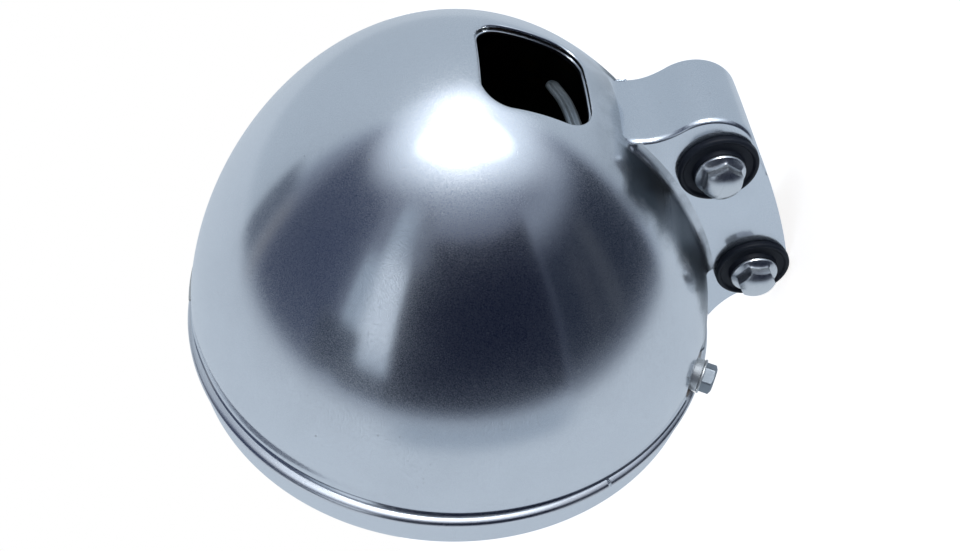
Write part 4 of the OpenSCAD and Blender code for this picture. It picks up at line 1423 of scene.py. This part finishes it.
@dataclass
class Rim:
    """The rim with its ridge, groove and skirt, the split bead band and the two rim screws."""

    paint: Paintbox
    notch: float = 6.6
    notch_slack: float = 0.05
    notch_snap: float = 0.34
    dish: float = 14.5
    dish_low: float = 1.1
    drawn: float = 0.7
    drawn_reach: float = 96.5
    drawn_low: float = 0.9
    sheet: float = 0.6
    rust_reach: float = 14.5
    split: float = 29.5
    steps: int = 288

    @staticmethod
    def screw_frame(side: int) -> Matrix:
        """Matrix that stands a piece on a rim screw's axis, its Z outwards from the lamp's axis.

        Args:
            side: 1 or -1.

        Returns:
            The matrix.
        """
        turn = math.radians(90 - side * SCREW_TURN)
        c, s = math.cos(turn), math.sin(turn)
        return Matrix(((0, -s, c, 0), (0, c, s, 0), (-1, 0, 0, SCREW_HEIGHT), (0, 0, 0, 1)))

    def skirt(self) -> bmesh.types.BMesh:
        """The rim's sheet, with its notches for the collars.

        Returns:
            The mesh.
        """
        section = [(96.1, 7.2), (96.1, 5.0), (96.1, 2.0), (96.15, 1.4), (96.3, 1.0), (96.6, 0.8), (96.85, 0.5),
                   (96.9, 0.1), (96.9, -1.5), (97.2, -2.1), (97.9, -2.4), (98.6, -2.5)]
        section += [(98.6, z) for z in (-3.2, -4.2, -5.5, -7.0, -9.0, -11.0)]
        section += arc((95.8, -13.7), 2.8, 0, -90, 10)
        section += [(90.0, -16.5), (84.5, -16.5), (83.4, -16.35), (82.65, -15.8), (82.5, -15.2), (82.5, -14.9)]
        bm = Workshop.spun(section, self.steps, closed=False)
        self.draw_in(bm)
        Workshop.turned(bm, sum(f.normal.xy.dot(f.calc_center_median().xy) for f in bm.faces))
        for side in SIDES.values():
            stand = self.screw_frame(side)
            inverse = stand.inverted()

            def across(co: Vector) -> float:
                """A point's distance from the screw's axis, without end where it is off the screw's side."""
                spot = inverse @ co
                return spot.xy.length if spot.z > SCREW_REACH else math.inf

            near = [e for e in bm.edges if all(across(v.co) < self.notch + 3 for v in e.verts)]
            bmesh.ops.subdivide_edges(bm, edges=near, cuts=3, use_grid_fill=True)
            for v in bm.verts:
                if abs(across(v.co) - self.notch) < self.notch_snap:
                    spot = inverse @ v.co
                    shift = spot.xy.normalized() * self.notch
                    v.co = at_radius(stand @ Vector((shift.x, shift.y, spot.z)), off_axis(v.co))

            def cut(face: bmesh.types.BMFace) -> bool:
                """Whether a face lies within the notch, or within the bucket's dish above the bead."""
                return all(across(v.co) < (self.dish if v.co.z > self.dish_low else self.notch + self.notch_slack)
                           for v in face.verts)

            Workshop.drop(bm, cut)
        bmesh.ops.solidify(bm, geom=bm.faces[:], thickness=self.sheet)
        return bm

    def draw_in(self, bm: bmesh.types.BMesh) -> None:
        """Draws the parts inside the bucket in where its waist is drawn in more.

        Args:
            bm: the mesh, changed in place.
        """
        for v in bm.verts:
            if off_axis(v.co) < self.drawn_reach and v.co.z > self.drawn_low:
                v.co = at_radius(v.co, off_axis(v.co) - self.drawn * leftward(v.co))

    def stretch(self, section: Sequence[Pair], start: float, end: float) -> bmesh.types.BMesh:
        """A closed section swept round from one angle to another and kept clear of the collars.

        Args:
            section: points of radius and height.
            start: first angle in degrees.
            end: last angle in degrees.

        Returns:
            The mesh.
        """
        bm = Workshop.sweep(section, start, end, max(int((end - start) / 360 * self.steps), 2))
        for side in SIDES.values():
            stand = self.screw_frame(side)
            inverse = stand.inverted()
            for v in bm.verts:
                spot = inverse @ v.co
                if spot.z > SCREW_REACH and spot.x ** 2 + spot.y ** 2 < self.notch ** 2:
                    spot.y = math.copysign(math.sqrt(self.notch ** 2 - spot.x ** 2), spot.y)
                    v.co = stand @ spot
        return Workshop.outward(bm)

    def ridge(self) -> bmesh.types.BMesh:
        """The thin ridge behind the groove, broken at the two collars.

        Returns:
            The mesh.
        """
        section = [(95.6, 2.35), (96.9, 2.4), (97.2, 2.5), (97.33, 2.62), (97.35, 2.76), (97.28, 2.95), (97.16, 3.13),
                   (97.05, 3.27), (96.97, 3.33), (96.85, 3.33), (96.74, 3.25), (96.68, 2.75), (95.6, 2.75)]
        gap = 3.55
        first, second = SCREW_PLACES
        bm = Workshop.join([self.stretch(section, first + gap, second - gap),
                            self.stretch(section, second + gap, 360 + first - gap)])
        self.draw_in(bm)
        return bm

    def band(self) -> bmesh.types.BMesh:
        """The half-round bead band in its three stretches.

        Returns:
            The mesh.
        """
        turns = [76, 74, 73, 72, 71, 70, 70, 69, 69, 68, 68, 67, 66, 64, 62, 60, 57, 52, 46, 40, 34, 28, 22, 14, 4]
        turns += [-12, -28, -44, -60, -76]
        steps = [0.19] * 8 + [0.18] * 7 + [0.14] * 4 + [0.24] * 6 + [0.3, 0.3, 0.3, 0.35, 0.6]
        section = [(96.62, 0.7), (96.65, 1.5), (96.8, 1.58)]
        for turn, step in zip(turns, steps):
            a = math.radians(turn)
            section.append((section[-1][0] + step * math.sin(a), section[-1][1] - step * math.cos(a)))
        section += [(96.62, section[-1][1] - 0.05)]
        gap = 3.3
        first, second = SCREW_PLACES
        slit = math.degrees(0.6 / 99)
        return Workshop.join([self.stretch(section, first + gap, second - gap),
                              self.stretch(section, second + gap, 360 + self.split - slit),
                              self.stretch(section, self.split + slit, first - gap)])

    def screw(self, name: str) -> None:
        """Makes a rim screw with its washer.

        Args:
            name: the side's name.
        """
        stand = self.screw_frame(SIDES[name])
        washer = Workshop.spun([(3.05, 100.2), (6.35, 100.2), (6.5, 100.35), (6.5, 100.8), (6.3, 101.0), (3.05, 101.0)],
                               96)
        Workshop.finish("screw_washer_%s" % name, Workshop.moved(washer, stand), "rim_washer_%s" % name, Finish.STEEL,
                        ["rim_washer_%s" % name], [self.paint["collar_chrome"]])
        shank = [(3.0, 0.0), (3.0, -9.8), (2.5, -10.6), (0.0, -10.6)]
        head = Mounting.head(10.0, 4.3, 0.0, 0.0, 101.0, 0.0, shank)
        Workshop.finish("screw_%s" % name, Workshop.moved(head, stand), "rim_screw_%s" % name, Finish.STEEL,
                        ["rim_screw_%s" % name], [self.paint["screw_zinc"]], Sharp.CRISP)

    def collars(self) -> None:
        """Makes the two tubes that the rim screws pass through."""
        section = [(3.2, 91.5), (6.2, 91.5), (6.2, 99.8), (6.05, 100.05), (5.8, 100.18), (5.4, 100.2), (3.2, 100.2)]
        parts = [Workshop.moved(Workshop.spun(section, 96), self.screw_frame(side)) for side in SIDES.values()]
        Workshop.finish("screw_collars", Workshop.join(parts), "rim", Finish.STEEL, ["rim_screw_collars"],
                        [self.paint["collar_chrome"]])

    def build(self) -> None:
        """Makes the rim, its band and its screws; where ridge and band meet they are dark with dirt and painted shade.
        """
        sheet = Workshop.join([self.skirt(), self.ridge()])
        band = self.band()
        inverses = [self.screw_frame(side).inverted() for side in SIDES.values()]
        for face in sheet.faces:
            spot = face.calc_center_median()
            reach = off_axis(spot)
            # The spigot's wall in the groove, and the side of the ridge that faces the groove, take the dark groove
            # finish: dirt and painted shade.
            if (0.5 < spot.z and reach < 96.72) or (2.3 < spot.z < 2.55 and reach < 97.3):
                face.material_index = 1
        for face in band.faces:
            spot = face.calc_center_median()
            offsets = [inverse @ spot for inverse in inverses]
            # The bead's top next to the ridge takes the dark groove finish: dirt and painted shade.
            if spot.z > 0.9 and off_axis(spot) < 96.9:
                face.material_index = 1
            elif spot.z > 0.95 and any(o.z > SCREW_REACH and off_axis(o) < self.rust_reach for o in offsets):
                face.material_index = 2
        Workshop.finish("rim_sheet", sheet, "rim", Finish.RIM, ["rim"],
                        [self.paint["rim_chrome"], self.paint["groove_dirt_and_shade"]])
        Workshop.finish("bead_band", band, "rim", Finish.RIM, ["rim_band"],
                        [self.paint["band_brushed"], self.paint["groove_dirt_and_shade"], self.paint["band_rusted"]])
        seal = Workshop.spun([(94.8, 2.8), (96.6, 2.8), (96.6, 3.3), (94.8, 3.3)], self.steps)
        Workshop.finish("rim_seal", seal, "rim", Finish.RUBBER, ["rim_gasket"], [self.paint["seal_black"]])
        self.collars()
        for name in SIDES:
            self.screw(name)


@dataclass
class BeamUnit:
    """The glass, its mirror and the lamp behind it."""

    paint: Paintbox
    lens_radius: float = 84.0
    front: float = -9.8
    edge: float = 3.8
    bulge: float = 15.0
    focal: float = 28.0
    vertex: float = 52.66
    neck: float = 20.8
    glass: float = 3.9
    flute_depth: float = 0.8
    flute_pitch: Pair = (6.0, 9.0)
    flute_row: float = 22.0
    lamp_length: float = 38.0
    lamp_radius: float = 8.5

    def lens(self) -> None:
        """Makes the domed glass with flutes on its back."""
        rise = self.lens_radius - 3
        ball = (rise ** 2 + self.bulge ** 2) / (2 * self.bulge)

        def front_at(radius: float) -> float:
            """Height of the dome's front at a radius."""
            return self.front - 1.5 + math.sqrt(ball ** 2 - rise ** 2) - math.sqrt(ball ** 2 - radius ** 2)

        def flute(x: float, y: float) -> float:
            """Depth of the flutes at a place on the back.

            Args:
                x: place across the flutes.
                y: place along them.

            Returns:
                The depth.
            """
            pitch = self.flute_pitch[abs(y) > self.flute_row]
            share = abs((x / pitch) % 1.0 - 0.5) * 2
            fade = 1 - smooth(rise - 9, rise - 5, math.hypot(x, y))
            return self.flute_depth * (1 - share ** 2) * fade

        rows = [(0.0, r * (rise - 0.2) / 40) for r in range(41)]
        rows += [(1.0, rise), (2.0, self.lens_radius - 0.3), (3.0, self.lens_radius), (4.0, self.lens_radius),
                 (5.0, self.lens_radius - 0.3)]
        rows += [(6.0, (rise - 2.5) * (1 - r / 60)) for r in range(61)]

        def place(u: float, v: float) -> Vector:
            """Point of the glass at a share round and a share along the section.

            Args:
                u: share across or round.
                v: share along.

            Returns:
                The point.
            """
            kind, radius = rows[round(v * (len(rows) - 1))]
            spot = wheel(radius, 2 * math.pi * u, 0)
            back = self.front + self.edge
            heights = {0.0: front_at(min(radius, rise)), 1.0: self.front, 2.0: self.front, 3.0: self.front + 0.3,
                       4.0: back - 0.3, 5.0: back}
            if kind < 6.0:
                spot.z = heights[kind]
            else:
                spot.z = min(front_at(radius) + self.glass, back - 0.1) + flute(spot.x, spot.y) - self.flute_depth
            return spot

        bm = Workshop.outward(Workshop.sheet(256, len(rows) - 1, place))
        Workshop.finish("fluted_lens", bm, "beam", Finish.LENS, ["lens"], [self.paint["clear_glass"]], Sharp.SOFT)

    def mirror_at(self, radius: float) -> float:
        """Height of the mirror's paraboloid at a radius."""
        return self.vertex - radius * radius / (4 * self.focal)

    def mirror(self) -> None:
        """Makes the reflector's bowl with its neck and lugs."""
        mouth = self.lens_radius - 3.5
        flange = self.mirror_at(mouth)
        end = self.mirror_at(self.neck) + 9.5
        radii = [mouth + (self.neck - mouth) * i / 48 for i in range(49)]
        section = [(84.3, flange)] + [(r, self.mirror_at(r)) for r in radii]
        section += [(self.neck, end - 2.2), (15.5, end - 2.2), (15.5, end - 1.0), (self.neck, end - 1.0),
                    (self.neck, end), (22.0, end)]
        outer = [(r + 0.56, self.mirror_at(r) + 0.64) for r in reversed(radii)]
        section += [(22.0, outer[0][1] + 0.2)] + outer[1:] + [(84.3, flange + 0.8)]
        low, high = end - 4.6, end - 3.1
        lug = [(22.0, low), (24.0, low), (24.0, high), (22.0, high)]
        parts = [Workshop.spun(section, 256)] + [Workshop.sweep(lug, turn, turn + 30.0, 16) for turn in (0, 120, 240)]
        Workshop.finish("reflector_bowl", Workshop.join(parts), "beam", Finish.MIRROR, ["reflector"],
                        [self.paint["mirror_metal"]])

    def lamp(self) -> None:
        """Makes the lamp's glass with its two filaments on their posts."""
        base = self.mirror_at(self.neck) + 8.5
        wide, bore = self.lamp_radius, self.lamp_radius - 1.0
        mid = (0.0, base - self.lamp_length + wide)
        outer = arc(mid, wide, -90, 0, 16) + [(wide, base)]
        inner = [(bore, base)] + list(reversed(arc(mid, bore, -90, 0, 16)))
        glass = Workshop.spun(outer + inner, 96)
        Workshop.finish("lamp_glass", glass, "beam", Finish.BULB, ["bulb_glass"], [self.paint["bulb_glass"]],
                        Sharp.SOFT)
        parts = []
        for z, reach in ((base - 27.0, 4.5), (base - 18.0, 4.0)):
            coil = [Vector((reach * (2 * t / 96 - 1), 0.75 * math.cos(t * 0.75), z + 0.75 * math.sin(t * 0.75)))
                    for t in range(97)]
            parts.append(Workshop.tube(coil, 0.16, sides=6))
            for x in (-reach, reach):
                post = [Vector((x, 0.75 * (1 if x < 0 else math.cos(72)), z)), Vector((x, 0.4, z + 8)),
                        Vector((x * 0.7, 0, base))]
                parts.append(Workshop.tube(post, 0.35, sides=8))
        Workshop.finish("lamp_filaments", Workshop.join(parts), "beam", Finish.DARK, [], [self.paint["filament_wire"]])

    def build(self) -> None:
        """Makes the lens, the mirror and the lamp."""
        self.lens()
        self.mirror()
        self.lamp()


@dataclass
class InnerParts:
    """Finishes for the CAD's own pieces that stay."""

    paint: Paintbox
    finishes: Dict[str, str] = field(default_factory=lambda: {
        "plain_steel": "mount_collars rim_hook rim_screw_tabs rim_screw_nuts rim_pivot_pins vertical_aim_spring "
                       "beam_pivot_pins horizontal_aim_spring retaining_ring bulb_base bulb_retainer",
        "dark_steel": "vertical_aim_clip aim_ring horizontal_aim_clip beam_ring",
        "screw_zinc": "vertical_aim_screw horizontal_aim_screw",
        "ivory_plastic": "vertical_aim_nut horizontal_aim_nut",
        "seal_black": "lens_gasket dust_boot",
        "brass": "bulb_contacts"})

    def build(self, nodes: Dict[str, bpy.types.Object]) -> None:
        """Gives every kept node its material.

        Args:
            nodes: the frame's nodes by name.
        """
        for finish, names in self.finishes.items():
            for name in names.split():
                materials = nodes[name].data.materials
                materials.clear()
                materials.append(self.paint[finish])
                LOG.info("%s: dressed in %s", name, finish)


@dataclass(frozen=True)
class Photograph:
    """The camera that took the photograph, in the lamp's own frame."""

    azimuth: float = -8.612
    elevation: float = 48.656
    roll: float = 5.373
    distance: float = 429.473
    focal_px: float = 1100.0
    shift: Pair = (11.271, 7.182)
    width_px: int = 960
    sensor: float = 36.0

    def matrix(self) -> Matrix:
        """The camera's place in the row frame, in metres.

        Returns:
            The matrix.
        """
        a, e, r = (math.radians(v) for v in (self.azimuth, self.elevation, self.roll))
        back = Vector((math.sin(a) * math.cos(e), -math.cos(a) * math.cos(e), math.sin(e)))
        side = Vector((math.cos(a), math.sin(a), 0.0))
        up = back.cross(side)
        right = side * math.cos(r) + up * math.sin(r)
        top = up * math.cos(r) - side * math.sin(r)
        spot = back * self.distance + right * self.shift[0] + top * self.shift[1]

        def row(v: Vector) -> Vector:
            """Turns a direction from the photograph's axes to the row's."""
            return Vector((-v.y, v.z, -v.x))

        place = row(spot) * MM + Vector((0, -BEAD_FRONT * MM, AXIS_HEIGHT * MM))
        columns = (row(right), row(top), row(back))
        return Matrix([[columns[j][i] for j in range(3)] + [place[i]] for i in range(3)] + [[0, 0, 0, 1]])

    def build(self) -> None:
        """Makes the camera and hands it to the scene."""
        data = bpy.data.cameras.new("camera")
        data.sensor_width = self.sensor
        data.lens = self.focal_px * self.sensor / self.width_px
        data.clip_start = 0.01
        camera = put("camera", data)
        camera.matrix_world = self.matrix()
        bpy.context.scene.camera = camera


@dataclass(frozen=True)
class Patch:
    """A soft-edged patch of the room, in degrees from straight ahead and from level."""

    turn: Pair
    rise: Pair
    soft: Pair
    colour: Colour
    share: float = 1.0


@dataclass
class Studio:
    """Soft room light by direction, a pale floor and one soft lamp."""

    floor_height: float = -0.0262
    walls: Colour = (0.45, 0.52, 0.60)
    patches: Tuple[Patch, ...] = (
        Patch((-180, 180), (-95, -9), (1, 7), (0.55, 0.62, 0.70)),
        Patch((-108, 99), (-9, 69), (14, 14), (0.27, 0.32, 0.41)),
        Patch((-104, 97), (-9, 54), (14, 18), (0.13, 0.15, 0.21)),
        Patch((-114, -104), (-10, 14), (6, 9), (0.085, 0.105, 0.15)),
        Patch((-104, -98), (-10, 12), (5, 12), (0.22, 0.22, 0.23), 0.6),
        Patch((-97, -56), (-8, 44), (9, 9), (0.042, 0.055, 0.10)),
        Patch((-53, -29), (-1, 30), (4, 9), (0.34, 0.41, 0.50)),
        Patch((-46, -29), (24, 50), (6, 12), (0.34, 0.41, 0.50)),
        Patch((-44, -29), (4, 34), (8, 16), (0.78, 0.86, 0.96), 0.8),
        Patch((-62, -43), (-7, 8), (6, 5), (0.030, 0.040, 0.065)),
        Patch((-48, -26), (-8, -1), (6, 5), (0.045, 0.055, 0.08)),
        Patch((-29, 42), (-8, 44), (6, 8), (0.006, 0.009, 0.024)),
        Patch((-34, -20), (33, 52), (12, 10), (0.13, 0.15, 0.20), 0.85),
        Patch((42, 92), (33, 46), (12, 12), (0.30, 0.35, 0.43), 0.5),
        Patch((42, 96), (-8, 34), (7, 17), (0.016, 0.022, 0.040)),
        Patch((55, 63), (0, 24), (9, 14), (0.055, 0.062, 0.08), 0.5),
        Patch((66, 74), (-2, 28), (7, 12), (0.09, 0.10, 0.12), 0.45),
        Patch((-24, 42), (-20, -12), (18, 7), (0.30, 0.37, 0.46), 0.8))

    def sky(self) -> None:
        """Builds the world: a pale room with dark walls ahead and a bright ceiling, white to the camera."""
        world = bpy.data.worlds.new("room")
        bpy.context.scene.world = world
        world.use_nodes = True
        bench = NodeBench(world.node_tree)
        world.node_tree.nodes.clear()
        place = bench.add("ShaderNodeTexCoord").outputs["Generated"]
        axes = bench.add("ShaderNodeSeparateXYZ", {"Vector": place}).outputs
        ahead, side, up = axes["X"], bench.times(axes["Z"], -1.0), axes["Y"]
        turn = bench.math("DEGREES", bench.math("ARCTAN2", side, ahead))
        rise = bench.math("DEGREES", bench.math("ARCSINE", up))
        colour: object = self.walls
        for patch in self.patches:
            share: object = patch.share
            for axis, (low, high), soft in ((turn, patch.turn, patch.soft[0]), (rise, patch.rise, patch.soft[1])):
                if low > -OPEN_SIDE:
                    share = bench.times(share, bench.ease(axis, low - soft / 2, low + soft / 2))
                if high < OPEN_SIDE:
                    share = bench.times(share, bench.ease(axis, high - soft / 2, high + soft / 2, 1.0, 0.0))
            colour = bench.blend(share, colour, patch.colour)
        # The bright ceiling: a wide glow, and a smaller and brighter one in it.
        wide = bench.math("DIVIDE", bench.math("SUBTRACT", side, 0.02), 0.41)
        above = bench.ease(up, 0.2, 0.5)
        for centre, half, start, end, glow in ((0.04, 0.25, 3.8, 0.9, (0.82, 0.92, 1.05)),
                                               (0.12, 0.175, 1.35, 0.75, (1.7, 1.85, 2.0))):
            deep = bench.math("DIVIDE", bench.math("SUBTRACT", ahead, centre), half)
            off = bench.math("ADD", bench.times(wide, wide), bench.times(deep, deep))
            share = bench.times(bench.ease(off, end, start, 1.0, 0.0), above)
            colour = bench.blend(share, colour, glow)
        seen = bench.add("ShaderNodeLightPath").outputs["Is Camera Ray"]
        mixed = bench.blend(seen, colour, (1.0, 1.0, 1.0))
        back = bench.add("ShaderNodeBackground", {"Color": mixed, "Strength": 1.0})
        bench.add("ShaderNodeOutputWorld", {"Surface": back.outputs[0]})

    def floor(self) -> None:
        """Lays the pale stage under the bracket."""
        bm = bmesh.new()
        bmesh.ops.create_grid(bm, x_segments=1, y_segments=1, size=6.0)
        bmesh.ops.translate(bm, verts=bm.verts[:], vec=(0, 0, self.floor_height))
        mesh = bpy.data.meshes.new("floor")
        bm.to_mesh(mesh)
        bm.free()
        material = bpy.data.materials.new("floor_white")
        material.use_nodes = True
        bench = NodeBench(material.node_tree)
        ray = bench.add("ShaderNodeLightPath").outputs
        glow = bench.times(ray["Is Camera Ray"], 0.78)
        clear = bench.math("SUBTRACT", 1.0, ray["Is Glossy Ray"])
        bench.feed(material.node_tree.nodes["Principled BSDF"], {
            "Base Color": (0.9, 0.9, 0.9, 1), "Roughness": 0.9, "Emission Color": (1.0, 0.97, 0.94, 1),
            "Emission Strength": glow, "Alpha": clear})
        mesh.materials.append(material)
        floor = put("floor", mesh)

    def lamp(self, name: str, place: Sequence[float], aim: Sequence[float], size: float, power: float) -> None:
        """Hangs one soft square light.

        Args:
            name: its name.
            place: where it hangs, in metres.
            aim: the point that it faces.
            size: length of its side.
            power: its power in watts.
        """
        data = bpy.data.lights.new(name, "AREA")
        data.size = size
        data.energy = power
        light = put(name, data)
        light.location = place
        light.rotation_euler = (light.location - Vector(aim)).to_track_quat("Z", "Y").to_euler()

    def build(self) -> None:
        """Makes the world, the floor and the lights."""
        self.sky()
        self.floor()
        self.lamp("ceiling_light", (0.11, 1.5, 0.09), (0.0, 0.0, 0.09), 0.50, 10.0)


@dataclass
class Headlight:
    """The whole lamp, made one sub-assembly after another."""

    paint: Paintbox

    def build(self, nodes: Dict[str, bpy.types.Object]) -> None:
        """Makes every piece.

        Args:
            nodes: the frame's CAD nodes.
        """
        bowl = Bowl()
        Bucket(self.paint, bowl).build()
        Bracket(self.paint, bowl).build()
        WireClamp(self.paint).build()
        Mounting(self.paint).build()
        Rim(self.paint).build()
        BeamUnit(self.paint).build()
        InnerParts(self.paint).build(nodes)


def main() -> None:
    """Builds the headlight, its studio and its camera."""
    logging.basicConfig(level=logging.INFO, format="%(name)s %(message)s")
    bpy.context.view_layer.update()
    Headlight(Paintbox()).build(frame["nodes"])
    Studio().build()
    Photograph().build()
    scene = bpy.context.scene
    scene.view_settings.view_transform = "Standard"
    scene.view_settings.look = "None"


if __name__ == "__main__":
    main()
